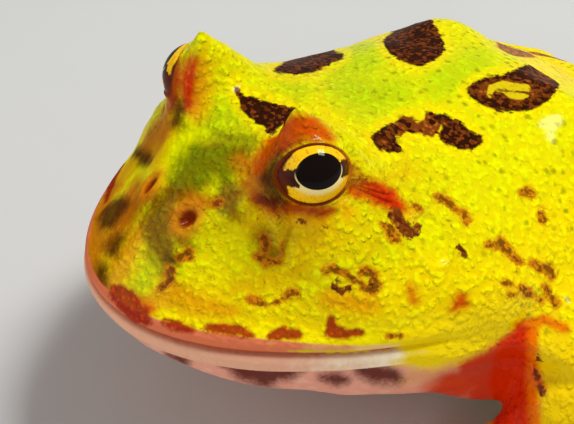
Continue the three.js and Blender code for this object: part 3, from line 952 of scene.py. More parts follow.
SHADES: tuple[Mark, ...] = (
    *strokes(Ink.LIME, Seen.PHOTO,
        ((210, 120, 2), (232, 112, 2.2), (246, 124, 1.4)), ((345, 88, 2.4), (370, 96, 2.8), (400, 92, 2)),
        ((335, 70, 1.5), (365, 62, 2.4)), ((300, 90, 1.5), (285, 84, 1)), ((151, 266, 1), (144, 284, 1)),
        ((480, 60, 1.8), (440, 84, 2.4)), ((352, 48, 1), (366, 46, 1.4))),
    *strokes(Ink.HONEY, Seen.PHOTO,
        ((144, 226, 0.8), (133, 242, 1.3), (120, 264, 1.7), (112, 284, 1.3)),
        ((158, 300, 1.2), (175, 294, 1.6), (200, 306, 1.4), (230, 312, 0.9)),
        ((262, 212, 0.9), (290, 217, 1.1), (322, 220, 0.9)), ((344, 204, 0.6), (349, 213, 0.9)),
        ((205, 62, 0.6), (201, 85, 1.4), (196, 112, 1.3)), ((330, 300, 1.2), (370, 306, 1.4)),
        ((163, 186, 0.7), (150, 196, 0.8)), ((172, 120, 0.8), (163, 140, 0.9), (154, 165, 0.7)),
        ((128, 166, 1.2), (118, 182, 1.3), (108, 198, 0.8)), ((400, 209, 0.5), (410, 214, 0.6))),
    *strokes(Ink.GOLD, Seen.PHOTO,
        ((250, 224, 1.6), (275, 236, 2.4), (315, 236, 2.4), (362, 240, 1.8)),
        ((385, 176, 0.8), (408, 172, 1.2)), ((230, 290, 0.8), (262, 282, 1.4), (300, 268, 1.2))),
    *strokes(Ink.GREEN, Seen.PHOTO,
        ((248, 149, 0.9), (222, 155, 2.2), (202, 164, 3), (186, 184, 2.6)),
        ((224, 170, 2), (224, 184, 1.2)), ((216, 136, 0.6), (236, 139, 0.8), (252, 141, 0.6))),
    *strokes(Ink.OLIVE, Seen.PHOTO,
        ((178, 194, 1.2), (163, 206, 2), (158, 226, 2.2), (160, 246, 2), (166, 258, 1.4)),
        ((240, 190, 0.8), (228, 202, 1.8), (234, 214, 0.8)), ((202, 204, 0.5), (218, 203, 1)),
        ((148, 196, 1), (134, 206, 1.4), (126, 220, 1)), ((166, 262, 1), (168, 276, 0.9)),
        ((180, 240, 0.8), (190, 246, 0.6)), ((264, 240, 1.4), (272, 256, 1.4), (284, 252, 1))),
    *strokes(Ink.TAN, Seen.PHOTO,
        ((168, 112, 0.8), (156, 134, 1.6), (146, 152, 1.5)),
        ((138, 184, 1), (128, 202, 1.6), (120, 222, 1.7), (107, 246, 1.5)),
        ((114, 186, 0.5), (102, 206, 1.4), (93, 232, 2.2), (89, 262, 2), (98, 284, 0.9))),
    *strokes(Ink.UMBER, Seen.PHOTO,
        ((120, 204, 1.2), (108, 218, 1.4)), ((119, 240, 0.8), (112, 250, 0.9)),
        ((102, 270, 0.9), (100, 284, 0.9)), ((137, 153, 0.8), (146, 159, 0.9)),
        ((355, 178, 0.3), (365, 182, 0.3)),
        # the next stroke is painted shade deep in the eye's front corner
        ((281, 156, 0.4), (275, 168, 1.1), (272, 180, 1.5), (274, 192, 1.3), (284, 202, 0.5)),
        ((262, 198, 0.6), (274, 203, 0.6)), ((180, 104, 0.6), (177, 122, 0.8)),
        ((168, 258, 0.4), (176, 262, 0.4))),
    *strokes(Ink.TAN, Seen.PHOTO,
        ((240, 162, 1), (252, 168, 1.8), (258, 182, 2), (256, 194, 1.4)),
        ((208, 200, 0.6), (192, 199, 0.8), (177, 210, 0.8))),
    *strokes(Ink.ORANGE, Seen.PHOTO,
        ((260, 170, 0.7), (265, 158, 1.1), (274, 144, 1.4), (287, 133, 1.6), (302, 127, 1.4)),
        ((302, 128, 1.4), (318, 133, 1.2), (330, 139, 0.7)), ((396, 203, 0.6), (404, 208, 0.4)),
        ((284, 136, 1.6), (296, 123, 1.2), (312, 125, 1.3), (326, 135, 0.9)),
        ((150, 309, 0.8), (140, 300, 0.6)), ((352, 166, 0.5), (362, 182, 0.6)),
        ((410, 289, 0.5), (414, 300, 0.6)), ((455, 310, 0.7), (461, 300, 1), (464, 306, 0.8)),
        # the last orange line is a painted shadow in the crease above the arm
        ((522, 323, 0.35), (545, 320, 0.45), (566, 329, 0.4))),
    *strokes(Ink.RUSSET, Seen.PHOTO,
        ((278, 153, 0.4), (289, 146, 0.5), (302, 140, 0.5), (316, 140, 0.3)),
        ((256, 198, 0.8), (275, 205, 1.2), (300, 209, 0.9), (322, 212, 0.9), (334, 210, 0.5)),
        ((354, 170, 0.5), (350, 190, 0.6)), ((182, 212, 0.4), (192, 214, 0.4)),
        ((176, 62, 0.8), (174, 84, 1), (172, 104, 0.9)),
        ((360, 178, 0.5), (374, 185, 0.5), (392, 192, 0.3))),
    *strokes(Ink.SCARLET, Seen.PHOTO,
        ((357, 191, 0.9), (371, 195, 1.8), (385, 200, 1.8), (397, 206, 0.9)),
        ((195, 58, 0.4), (190, 80, 1), (188, 104, 0.9)),
        ((190, 60, 0.4), (184, 82, 0.7), (186, 108, 0.5))),
    *strokes(Ink.APRICOT, Seen.PHOTO,
        ((530, 330, 1.1), (520, 352, 2.3), (517, 384, 2.7), (520, 424, 2.7)),
        # the last apricot line is a painted shadow in the crease above the arm
        ((518, 326, 0.4), (545, 320, 0.5), (566, 329, 0.4))),
    *strokes(Ink.EMBER, Seen.PHOTO,
        ((522, 330, 0.8), (512, 352, 2), (508, 384, 2.4), (510, 424, 2.4)),
        ((536, 372, 0.4), (541, 388, 0.6))),
    *strokes(Ink.PINK, Seen.PHOTO,
        ((400, 380, 0.6), (420, 375, 0.9), (438, 369, 0.7), (455, 368, 0.4))),
    *strokes(Ink.RED, Seen.PHOTO,
        ((436, 392, 1.6), (456, 382, 2.8), (480, 370, 3.4), (504, 346, 2.4)),
        ((480, 392, 2.4), (500, 370, 3))),
    *strokes(Ink.MAROON, Seen.PHOTO,
        ((170, 353, 0.6), (183, 361, 0.9)),
        ((226, 363, 0.8), (244, 370, 1.4), (264, 376, 1.5), (286, 372, 1.1), (300, 368, 0.6)),
        ((322, 377, 0.6), (336, 379, 0.9), (346, 380, 0.5)),
        ((362, 369, 1), (378, 374, 1.4), (394, 377, 1))),
    *strokes(Ink.YELLOW, Seen.PHOTO,
        ((396, 347, 0.2), (412, 348, 1)),
        ((394, 362, 0.2), (410, 360, 1), (430, 358, 1.3), (452, 353, 1.4), (474, 344, 1.4),
         (496, 331, 1.2), (515, 318, 0.9)),
        ((412, 342, 1.6), (452, 336, 2.6), (490, 322, 2.4))),
)

UNSEEN_MARKS: tuple[Mark, ...] = (
    # back and flanks beyond the photograph's frame, and the far side
    *strokes(Ink.BROWN, Seen.ABOVE,
        ((-19, 9, 1.4), (-22, 14, 2), (-24, 19, 1.2)),
        ((-4, 17, 1.4), (-8, 22, 2.8), (-12, 28, 2.4), (-12, 33, 1)),
        ((9, 26, 1.2), (13, 31, 2.4), (14, 37, 2), (11, 41, 0.9)),
        ((-3, 38, 1.3), (-6, 42, 1.7), (-5, 46, 0.8)), ((4, 47, 0.9), (7, 49, 1)),
        ((25, 21, 1), (28, 26, 1.3), (27, 31, 0.8)), ((-25, 25, 1.1), (-27, 30, 1.4), (-25, 35, 0.9)),
        ((-20, -6, 1), (-23, -3, 1.4)), ((17, 43, 0.7), (20, 41, 0.9)), ((-17, 41, 0.9), (-20, 38, 1))),
    *strokes(Ink.AMBER, Seen.ABOVE,
        ((-8, 21, 1.2), (-11, 28, 1.3)), ((12, 31, 1), (13, 36, 1)), ((-21, 13, 0.7), (-23, 17, 0.7))),
    *strokes(Ink.CREAM, Seen.ABOVE,
        ((-8, 21, 0.4), (-10, 25, 0.5), (-11, 28, 0.35)), ((13, 32, 0.3), (13, 35, 0.4))),
    *strokes(Ink.BROWN, Seen.RIGHT,
        ((-24, 33, 0.7), (-21, 30, 1.2), (-19, 26, 0.7)), ((2, 30, 0.6), (5, 28, 0.9), (6, 24, 0.5)),
        ((12, 22, 0.6), (14, 21, 0.6)), ((19, 19, 0.5), (22, 17, 0.6)), ((-4, 21, 0.5), (-2, 20, 0.5)),
        ((-14, 24, 0.5), (-12, 25, 0.6)), ((-27, 27, 0.4), (-25, 26, 0.5)),
        ((9, 28, 0.5), (11, 27, 0.5))),
    *strokes(Ink.AMBER, Seen.RIGHT,
        ((-26, 36, 0.6), (-23, 33, 0.9)), ((-29, 30, 0.4), (-27, 29, 0.5))),
    *strokes(Ink.RUST, Seen.RIGHT,
        ((-44, 29, 0.5), (-40, 28, 0.7), (-37, 28, 0.4)), ((-31, 27.4, 0.5), (-27, 27, 0.6)),
        ((-22, 26, 0.5), (-19, 25.6, 0.5))),
    *strokes(Ink.SCARLET, Seen.RIGHT,
        ((-23, 41, 0.8), (-20, 40, 1.2), (-18, 38, 0.8))),
    *strokes(Ink.APRICOT, Seen.RIGHT,
        ((-8, 20, 0.9), (-9, 14, 2), (-11, 7, 2))),
    *strokes(Ink.EMBER, Seen.RIGHT,
        ((-9, 20, 0.6), (-10, 14, 1.6), (-12, 7, 1.6))),
    *strokes(Ink.ORANGE, Seen.RIGHT,
        ((-31, 47, 0.9), (-28, 49, 0.9))),
    *strokes(Ink.RUSSET, Seen.RIGHT,
        ((-33, 39, 0.6), (-29, 38, 0.8), (-25, 40, 0.6))),
    *strokes(Ink.RED, Seen.RIGHT,
        ((-17, 11, 1.6), (-12, 10, 3.4), (-8, 12, 3.6)), ((-10, 16, 2.4), (-7, 9, 2.6))),
    *strokes(Ink.YELLOW, Seen.RIGHT,
        ((-25, 21.5, 0.5), (-20, 20.6, 1.6), (-14, 19.6, 2.2), (-9, 20, 2.4)),
        ((-22, 23.6, 0.8), (-18, 23.6, 2), (-12, 24, 2.6))),
    *strokes(Ink.MAROON, Seen.RIGHT,
        ((-46, 21, 0.6), (-43, 20, 0.8)), ((-36, 19, 1), (-31, 17, 1)), ((-25, 15, 0.8), (-22, 15, 0.7))),
    *strokes(Ink.BROWN, Seen.LEFT,
        ((20, 20, 0.6), (23, 18, 0.6)), ((12, 16, 0.5), (14, 15, 0.5)), ((28, 14, 0.6), (30, 12, 0.6)),
        ((-3, 12, 0.4), (-1, 13, 0.5))),
    # bands over the thighs, shanks and feet
    *strokes(Ink.BROWN, Seen.ABOVE,
        ((19, 40, 0.8), (24, 37, 1.2), (28, 35, 0.6)), ((-20, 41, 0.8), (-25, 37, 1.3), (-28, 34, 0.6)),
        ((30, 27, 0.8), (35, 28, 1.4), (40, 28, 0.8)), ((-30, 26, 0.8), (-35, 28, 1.4), (-40, 29, 0.8)),
        ((30, 36, 0.7), (34, 38, 1.2), (38, 38, 0.6)), ((-30, 36, 0.7), (-34, 37, 1.2), (-38, 37, 0.6)),
        ((41, 33, 0.6), (45, 33, 0.8)), ((-41, 32, 0.6), (-45, 33, 0.8)),
        ((-31, -3, 0.5), (-35, -4, 0.8)), ((33, -14, 0.4), (36, -15, 0.6)),
        ((-32, -14, 0.4), (-35, -15, 0.6)))
)


class Clay:
    """A working mesh in millimetres: numpy points on a Blender mesh's faces."""

    def __init__(self, mesh: bpy.types.Mesh) -> None:
        """Read a mesh.

        Args:
            mesh: The mesh, in millimetres.
        """
        self.mesh = mesh
        self.points = self.values(mesh.vertices, "co", 3)
        self.edges = self.values(mesh.edges, "vertices", 2).astype(int)
        self.valence = np.bincount(self.edges.ravel(), minlength=len(self.points))[:, None]

    @staticmethod
    def values(things: bpy.types.bpy_prop_collection, name: str, width: int) -> Array:
        """One property of all things of a collection.

        Args:
            things: The collection.
            name: The property.
            width: Numbers in it.

        Returns:
            An array with a row for each thing.
        """
        flat = np.empty(len(things) * width, np.int32 if name == "vertices" else np.float32)
        things.foreach_get(name, flat)
        return flat.reshape(-1, width).astype(float)

    def write(self) -> None:
        """Put the points into the mesh."""
        self.mesh.vertices.foreach_set("co", self.points.astype(np.float32).ravel())
        self.mesh.update()

    def normals(self) -> Array:
        """Outward normals of the points."""
        self.write()
        return self.values(self.mesh.vertex_normals, "vector", 3)

    def to_mean(self, values: Array) -> Array:
        """Way from each point's value to the mean of its neighbours' values.

        Args:
            values: A row for each point.

        Returns:
            The differences, in the same shape.
        """
        a, b = self.edges.T
        count = len(values)
        total = np.stack([np.bincount(a, values[b, k], count) + np.bincount(b, values[a, k], count)
                          for k in range(values.shape[1])], 1)
        return total / self.valence - values

    def relax(self, rounds: int, share: Array | float = 0.5) -> None:
        """Move each point towards its neighbours' mean, by a share of the way, in rounds."""
        for _ in range(rounds):
            self.points = self.points + self.to_mean(self.points) * share

    def fill_creases(self, rounds: int, share: float, weight: Array) -> None:
        """Raise the points that lie below their neighbours' mean, so creases become soft.

        Args:
            rounds: Rounds of raising.
            share: Share of the way in a round.
            weight: Weight of each point, from 0 to 1, as a column.
        """
        fresh, slack = 6, 0.01  # rounds with the same normals, and depth that is left, mm
        normals = self.normals()
        for i in range(rounds):
            if i % fresh == fresh - 1:
                normals = self.normals()
            step = self.to_mean(self.points)
            height = np.einsum("ij,ij->i", step, normals)[:, None]
            self.points = self.points + normals * np.maximum(height - slack, 0) * share * weight

    def refined(self, chosen: Array) -> "Clay":
        """Halve the edges whose two points are chosen.

        Args:
            chosen: True for each chosen point.

        Returns:
            The finer working mesh.
        """
        self.write()
        pick = chosen[self.edges].all(1)
        self.mesh.vertices.foreach_set("select", np.zeros(len(self.points), bool))
        self.mesh.edges.foreach_set("select", pick)
        bm = bmesh.new()
        bm.from_mesh(self.mesh)
        edges = [edge for edge in bm.edges if edge.select]
        bmesh.ops.subdivide_edges(bm, edges=edges, cuts=1, use_grid_fill=True)
        many = [face for face in bm.faces if len(face.verts) > 4]
        bmesh.ops.triangulate(bm, faces=many)
        bm.to_mesh(self.mesh)
        bm.free()
        self.mesh.update()
        return Clay(self.mesh)


class Wire:
    """A socket of a material's nodes; its arithmetic adds Math nodes."""

    def __init__(self, bench: "Bench", socket: bpy.types.NodeSocket) -> None:
        """Wrap an output socket of a material's nodes."""
        self.bench = bench
        self.socket = socket

    def math(self, operation: str, *values: "Wire | float", clamp: bool = False) -> "Wire":
        """A Math node over the values."""
        slots = dict(zip(("Value", "Value_001", "Value_002"), values))
        return self.bench.add("ShaderNodeMath", {"operation": operation, "use_clamp": clamp}, slots)

    def __add__(self, other: "Wire | float") -> "Wire":
        """Sum."""
        return self.math("ADD", self, other)

    __radd__ = __add__

    def __sub__(self, other: "Wire | float") -> "Wire":
        """Difference."""
        return self.math("SUBTRACT", self, other)

    def __rsub__(self, other: "Wire | float") -> "Wire":
        """Difference from a number."""
        return self.math("SUBTRACT", other, self)

    def __mul__(self, other: "Wire | float") -> "Wire":
        """Product."""
        return self.math("MULTIPLY", self, other)

    __rmul__ = __mul__

    def high(self, other: "Wire | float") -> "Wire":
        """The higher of two values."""
        return self.math("MAXIMUM", self, other)

    def ease(self, start: float, end: float) -> "Wire":
        """Smooth step from 0 at start to 1 at end."""
        return self.bench.add("ShaderNodeMapRange", {"interpolation_type": "SMOOTHSTEP"}, {
            "Value": self, "From Min": start, "From Max": end, "To Min": 0.0, "To Max": 1.0})


Value = Wire | float | Tone


class Bench:
    """One material and the nodes that are added to it."""

    def __init__(self, name: str) -> None:
        """Start a material.

        Args:
            name: Its name.
        """
        self.material = bpy.data.materials.new(name)
        self.material.use_nodes = True
        self.tree = self.material.node_tree
        self.tree.nodes.clear()

    def add(self, kind: str, settings: dict[str, object] | None = None,
            inputs: dict[str, Value] | None = None, output: str | None = None) -> Wire:
        """Add a node: its settings first, then its sockets' values or links.

        Args:
            kind: The node's type.
            settings: Its properties.
            inputs: Values or links by the sockets' identifiers.
            output: Identifier of the wanted output; the first enabled one by default.

        Returns:
            That output.
        """
        node = self.tree.nodes.new(kind)
        for name, value in (settings or {}).items():
            setattr(node, name, value)
        for name, value in (inputs or {}).items():
            socket = next(s for s in node.inputs if s.identifier == name)
            if isinstance(value, Wire):
                self.tree.links.new(value.socket, socket)
            else:
                socket.default_value = value
        wanted = [s for s in node.outputs if s.enabled and output in (None, s.identifier)]
        return Wire(self, wanted[0]) if wanted else None

    def attribute(self, name: str) -> Wire:
        """A number that the mesh carries."""
        return self.add("ShaderNodeAttribute", {"attribute_name": name}, output="Fac")

    def place(self) -> Wire:
        """The object's own coordinates, in metres."""
        return self.add("ShaderNodeTexCoord", output="Object")

    def noise(self, where: Wire, size: float, detail: float = 3.0, roughness: float = 0.6) -> Wire:
        """Soft noise from 0 to 1 with features of a size in millimetres."""
        return self.add("ShaderNodeTexNoise", {}, {
            "Vector": where, "Scale": 1 / (size * METRE), "Detail": detail, "Roughness": roughness})

    def shaken(self, where: Wire, size: float, reach: float) -> Wire:
        """Coordinates moved about by soft noise.

        Args:
            where: The coordinates, metres.
            size: Size of the noise's features, mm.
            reach: Farthest move along an axis, mm.

        Returns:
            The moved coordinates.
        """
        cloud = self.add("ShaderNodeTexNoise", {}, {"Vector": where, "Scale": 1 / (size * METRE)}, "Color")
        shift = self.add("ShaderNodeVectorMath", {"operation": "MULTIPLY_ADD"}, {
            "Vector": cloud, "Vector_001": (2 * reach * METRE,) * 3, "Vector_002": (-reach * METRE,) * 3})
        return self.add("ShaderNodeVectorMath", {"operation": "ADD"}, {"Vector": where, "Vector_001": shift})

    def cells(self, where: Wire, size: float, feature: str = "F1") -> Wire:
        """Distance to the nearest of scattered points, a size in millimetres apart."""
        return self.add("ShaderNodeTexVoronoi", {"feature": feature},
                        {"Vector": where, "Scale": 1 / (size * METRE)}, "Distance")

    def lots(self, where: Wire, size: float) -> tuple[Wire, Wire, Wire]:
        """Scattered points, each with two numbers of its own drawn from 0 to 1.

        Args:
            where: The coordinates, metres.
            size: How far apart the points are, mm.

        Returns:
            Distance to the nearest of them, and its two numbers.
        """
        near = self.cells(where, size)
        one = self.add("ShaderNodeSeparateColor", {}, {"Color": self.other(near, "Color")}, "Red")
        return near, one, self.other(one, "Green")

    def other(self, wire: Wire, output: str) -> Wire:
        """Another output of the node that a wire comes from."""
        return Wire(self, next(s for s in wire.socket.node.outputs if s.identifier == output))

    def mix(self, a: Value, b: Value, share: Wire | float, how: str = "MIX") -> Wire:
        """Colour between a and b."""
        return self.add("ShaderNodeMix", {"data_type": "RGBA", "blend_type": how},
                        {"Factor_Float": share, "A_Color": a, "B_Color": b}, "Result_Color")

    def bump(self, height: Wire, depth: float, under: Wire | None = None) -> Wire:
        """Bump from a height of 0 to 1.

        Args:
            height: The height.
            depth: What a height of 1 stands for, mm.
            under: Another bump that it lies on.

        Returns:
            The bumped normal.
        """
        below = {} if under is None else {"Normal": under}
        return self.add("ShaderNodeBump", {}, {
            "Height": height, "Distance": depth * METRE, "Strength": 1.0, **below})

    def surface(self, inputs: dict[str, Value]) -> bpy.types.Material:
        """Finish the material with a Principled shader.

        Args:
            inputs: Its sockets' values or links.

        Returns:
            The material.
        """
        shader = self.add("ShaderNodeBsdfPrincipled", {}, inputs, "BSDF")
        self.add("ShaderNodeOutputMaterial", {}, {"Surface": shader})
        return self.material


def paint(red: float, green: float, blue: float) -> Tone:
    """A colour as light: ((c + 0.055) / 1.055)^2.4, or c / 12.92 where it is dark.

    Args:
        red: Screen value from 0 to 255, and so green and blue.
        green: The same.
        blue: The same.

    Returns:
        The colour's light and a cover of 1.
    """
    c = np.array([red, green, blue]) / 255
    light = np.where(c <= 0.04045, c / 12.92, ((c + 0.055) / 1.055) ** 2.4)
    return (*(float(v) for v in light), 1.0)


def make_mesh(name: str, points: Array, faces: list[tuple[int, ...]]) -> bpy.types.Mesh:
    """A Blender mesh from points and faces.

    Args:
        name: Its name.
        points: Its points, in the mesh's own unit.
        faces: Its faces, outwards.

    Returns:
        The mesh.
    """
    mesh = bpy.data.meshes.new(name)
    mesh.from_pydata(points.tolist(), [], faces)
    mesh.update()
    return mesh


def make_object(name: str, mesh: bpy.types.Mesh, material: bpy.types.Material) -> bpy.types.Object:
    """Link a smooth-shaded object with one material, at the origin.

    Args:
        name: Its name.
        mesh: Its mesh, in metres.
        material: Its material.

    Returns:
        The object.
    """
    mesh.name = name
    mesh.materials.append(material)
    mesh.polygons.foreach_set("use_smooth", np.ones(len(mesh.polygons), bool))
    piece = bpy.data.objects.new(name, mesh)
    bpy.context.collection.objects.link(piece)
    return piece


def carry(mesh: bpy.types.Mesh, name: str, values: Array) -> None:
    """Store a number for each point of a mesh, for its material."""
    mesh.attributes.new(name, "FLOAT", "POINT").data.foreach_set("value", values.astype(np.float32))


@dataclass(frozen=True)
class Wash:
    """How an ink lies on the skin: its colour, how softly it fades (mm) and how fully it covers."""

    ink: Ink
    tone: tuple[float, ...]
    soft: float = 1.3
    ragged: float = 1.5
    cover: float = 1.0


@dataclass
class Grain:
    """Noise and granules that all layers of the skin share, from 0 to 1 if not told otherwise."""

    where: Wire  # coordinates, metres
    broad: Wire
    middle: Wire
    fine: Wire
    ragged: Wire  # round 0
    knobs: Wire
    grains: Wire
    lot: Wire  # drawn for each granule
    tiny_grains: Wire
    tiny_lot: Wire


@dataclass(frozen=True)
class SkinFinish:
    """Moist granular skin: yellow and lime with dark, orange and rust marks."""

    yellow: Tone = paint(250, 234, 0)
    lime_yellow: Tone = paint(232, 236, 0)
    warm: Tone = paint(240, 204, 0)
    # painted shade, multiplied into the hollows between the granules
    hollow: Tone = paint(228, 184, 0)
    speckle: Tone = paint(140, 142, 0)
    brown: Tone = paint(48, 19, 6)
    brown_light: Tone = paint(122, 58, 14)
    amber: Tone = paint(178, 100, 20)
    stain: Tone = paint(204, 116, 10)
    cream: Tone = paint(216, 190, 14)
    stroke_brown: Tone = paint(94, 38, 4)
    rust: Tone = paint(196, 58, 14)
    rust_dark: Tone = paint(158, 34, 10)
    lip: Tone = paint(255, 240, 206)
    lip_front: Tone = paint(232, 172, 140)
    upper_lip: Tone = paint(252, 208, 124)
    upper_lip_front: Tone = paint(222, 118, 78)
    throat: Tone = paint(232, 160, 136)
    belly: Tone = paint(240, 224, 186)
    mouth: Tone = paint(166, 66, 28)
    lid_edge: Tone = paint(120, 44, 10)
    lid_fold: Tone = paint(176, 104, 12)
    pit: Tone = paint(132, 44, 6)
    nostril_rim: Tone = paint(205, 120, 16)
    arm: Tone = paint(238, 200, 6)
    # sizes of clouds, granules and specks, and depths of the relief, mm
    broad_size: float = 9.0
    middle_size: float = 2.4
    fine_size: float = 0.5
    granule_size: float = 0.8
    tiny_size: float = 0.5
    wart_size: float = 0.85
    speckle_size: float = 1.45
    wart_depth: float = 0.26
    grain_depth: float = 0.08
    gloss: float = 0.2
    blotch_gloss_loss: float = 0.1
    smooth_gloss_loss: float = 0.85
    shades: tuple[Wash, ...] = (
        Wash(Ink.LIME, paint(188, 220, 4), 2.2, 1.5, 0.85),
        Wash(Ink.HONEY, paint(240, 178, 4), 1.2, 1.0, 0.9),
        Wash(Ink.GOLD, paint(228, 184, 0), 1.8, 1.8, 0.7),
        Wash(Ink.GREEN, paint(104, 118, 0), 1.6, 2.0, 0.92),
        Wash(Ink.OLIVE, paint(122, 84, 0), 1.4, 1.8, 0.9),
        Wash(Ink.TAN, paint(192, 106, 8), 1.4, 1.4, 0.92),
    )
    lid_washes: tuple[Wash, ...] = (
        Wash(Ink.ORANGE, paint(214, 90, 4), 0.9, 0.6, 1.0),
        Wash(Ink.RUSSET, paint(172, 58, 6), 0.8, 0.8, 0.95),
        Wash(Ink.SCARLET, paint(214, 50, 6), 1.0, 1.0, 1.0),
        Wash(Ink.UMBER, paint(70, 30, 4), 0.9, 1.2, 0.9),
    )
    chest_washes: tuple[Wash, ...] = (
        Wash(Ink.RED, paint(206, 62, 34), 1.8, 1.2, 1.0),
        Wash(Ink.PINK, paint(228, 160, 116), 0.7, 0.8, 0.9),
        Wash(Ink.MAROON, paint(96, 30, 22), 0.9, 1.4, 0.95),
    )
    edge_washes: tuple[Wash, ...] = (
        Wash(Ink.YELLOW, paint(246, 214, 2), 0.8, 1.0, 1.0),
        Wash(Ink.APRICOT, paint(236, 112, 2), 0.7, 0.6, 1.0),
        Wash(Ink.EMBER, paint(214, 44, 4), 0.7, 0.6, 1.0),
    )

    def washed(self, b: Bench, colour: Wire, washes: tuple[Wash, ...], ragged: Wire) -> Wire:
        """Lay soft inks over a colour: each share is a smooth step of the ink's depth.

        Args:
            b: The material's nodes.
            colour: What lies under them.
            washes: The inks in order.
            ragged: Noise round 0 that frays their edges.

        Returns:
            The new colour.
        """
        for wash in washes:
            depth = b.attribute(wash.ink.layer) + ragged * wash.ragged
            colour = b.mix(colour, wash.tone, depth.ease(-wash.soft, wash.soft) * wash.cover)
        return colour

    def grain(self, b: Bench) -> Grain:
        """Draw the shared noise and granules.

        Args:
            b: The material's nodes.

        Returns:
            Their wires.
        """
        where = b.place()
        shaken = b.shaken(where, 1.6, 0.35)
        middle, fine = b.noise(where, self.middle_size, 3.0), b.noise(where, self.fine_size, 3.0, 0.7)
        near, lot, _ = b.lots(shaken, self.granule_size)
        tiny_near, tiny_lot, _ = b.lots(shaken, self.tiny_size)
        return Grain(
            where=where, broad=b.noise(where, self.broad_size, 2.0), middle=middle, fine=fine,
            ragged=(middle - 0.5) * 1.2 + (fine - 0.5) * 0.7,
            knobs=b.cells(shaken, self.wart_size, "SMOOTH_F1").ease(0.62, 0.12),
            grains=near.ease(0.46, 0.06), lot=lot, tiny_grains=tiny_near.ease(0.46, 0.06), tiny_lot=tiny_lot)

    def ground(self, b: Bench, g: Grain) -> Wire:
        """Yellow and lime under soft shades, speckles and painted shade in the hollows, with nostrils and
        lid edges.

        Args:
            b: The material's nodes.
            g: The shared noise.

        Returns:
            The colour.
        """
        upper, blotch = b.attribute("upper"), b.attribute("blotch")
        colour = b.mix(self.yellow, self.lime_yellow, (upper * 0.7 + (g.broad - 0.5) * 1.2).ease(0.1, 0.8))
        colour = b.mix(colour, self.warm, g.broad.ease(0.5, 0.8) * (0.6 - upper * 0.4))
        colour = self.washed(b, colour, self.shades, g.ragged)
        colour = b.mix(colour, self.yellow, blotch.ease(-1.5, -0.6) * 0.6)
        colour = self.washed(b, colour, self.lid_washes, g.ragged)
        # olive specks, and painted shade that darkens the hollows between the granules
        dot, size, there = b.lots(b.shaken(g.where, 0.8, 0.3), self.speckle_size)
        dots = (size * 0.2 + 0.16 - dot + (g.fine - 0.5) * 0.3).ease(-0.14, 0.2) * there.ease(0.1, 0.4)
        colour = b.mix(colour, self.speckle, dots * b.attribute("speckled") * 0.7)
        colour = b.mix(colour, self.hollow, (1 - g.knobs) * b.attribute("granular") * 0.5, "MULTIPLY")
        colour = b.mix(colour, self.nostril_rim, b.attribute("nostril_rim"))
        colour = b.mix(colour, self.pit, b.attribute("pit"))
        edge = b.mix(self.lid_edge, self.lid_fold, b.attribute("behind_eye"))
        return b.mix(colour, edge, (b.attribute("lid_edge") + g.ragged * 0.3).ease(0.2, 0.8))

    def underside(self, b: Bench, g: Grain, colour: Wire) -> Wire:
        """Belly, throat, chest and arms over the ground colour.

        Args:
            b: The material's nodes.
            g: The shared noise.
            colour: What lies under them.

        Returns:
            The new colour.
        """
        colour = b.mix(colour, self.belly, b.attribute("belly"))
        pale = b.mix(self.throat, self.lip, g.middle.ease(0.45, 0.75) * 0.25)
        colour = b.mix(colour, pale, b.attribute("throat"))
        colour = self.washed(b, colour, self.chest_washes, g.ragged)
        return b.mix(colour, self.arm, b.attribute("arm"))

    def lips(self, b: Bench, g: Grain, colour: Wire) -> Wire:
        """Lips, pink in front and cream behind, the mouth's line and the jaw's yellow edge.

        Args:
            b: The material's nodes.
            g: The shared noise.
            colour: What lies under them.

        Returns:
            The new colour.
        """
        front = b.attribute("front") + g.middle - 0.5
        lip = b.mix(self.lip, self.lip_front, front.ease(0.0, 1.0))
        upper_lip = b.mix(self.upper_lip, self.upper_lip_front, front.ease(0.1, 0.95))
        colour = b.mix(colour, upper_lip, (b.attribute("upper_lip") + g.ragged * 0.4).ease(0.3, 0.8))
        colour = b.mix(colour, lip, (b.attribute("lip") + g.ragged * 0.2).ease(0.35, 0.65))
        colour = b.mix(colour, self.mouth, b.attribute("mouth"))
        return self.washed(b, colour, self.edge_washes, g.ragged)

    def marks(self, b: Bench, g: Grain, colour: Wire) -> Wire:
        """Blotches and strokes, frayed by whole granules, and more finely outside the blotches.

        Args:
            b: The material's nodes.
            g: The shared noise.
            colour: What lies under them.

        Returns:
            The new colour.
        """
        blotch, brown = b.attribute("blotch"), b.attribute(Ink.BROWN.layer)
        in_blotch = blotch.ease(-0.9, -0.5)
        frayed = (g.ragged * 0.5 + (g.lot - 0.5) * 0.6) * (1 - in_blotch * 0.45)
        fray = frayed * (0.4 + in_blotch * 0.5) + (g.tiny_lot - 0.5) * 0.4 * (1 - in_blotch) + 0.05
        bronze = b.mix(self.brown_light, self.amber, g.grains)
        base = b.mix(self.stroke_brown, self.brown, in_blotch)
        halo = (brown + frayed * 0.7).ease(-0.55, 0.0) * blotch.ease(-0.6, -1.2)
        colour = b.mix(colour, self.stain, halo * 0.7)
        amber = b.attribute(Ink.AMBER.layer) + fray
        colour = b.mix(colour, b.mix(bronze, base, g.lot.ease(0.62, 0.8)), amber.ease(-0.1, 0.25))
        inner = b.attribute("amber_inner") + frayed
        paler = inner.ease(-0.3, 0.5) * (g.middle * 0.7 + g.lot * 0.5).ease(0.5, 0.72)
        light_brown = b.mix(self.stain, self.brown_light, in_blotch)
        dark = b.mix(b.mix(base, light_brown, g.tiny_lot.ease(0.5, 0.95)), bronze, paler)
        cover = 0.82 + 0.18 * blotch.ease(-0.6, 0.0)
        colour = b.mix(colour, dark, (brown + fray).ease(-0.12, 0.2) * cover)
        rust = b.attribute(Ink.RUST.layer) + frayed * 0.55
        colour = b.mix(colour, b.mix(self.rust_dark, self.rust, g.grains), rust.ease(-0.4, 0.3) * 0.95)
        return b.mix(colour, self.cream, (b.attribute(Ink.CREAM.layer) + frayed * 0.3).ease(-0.08, 0.14))

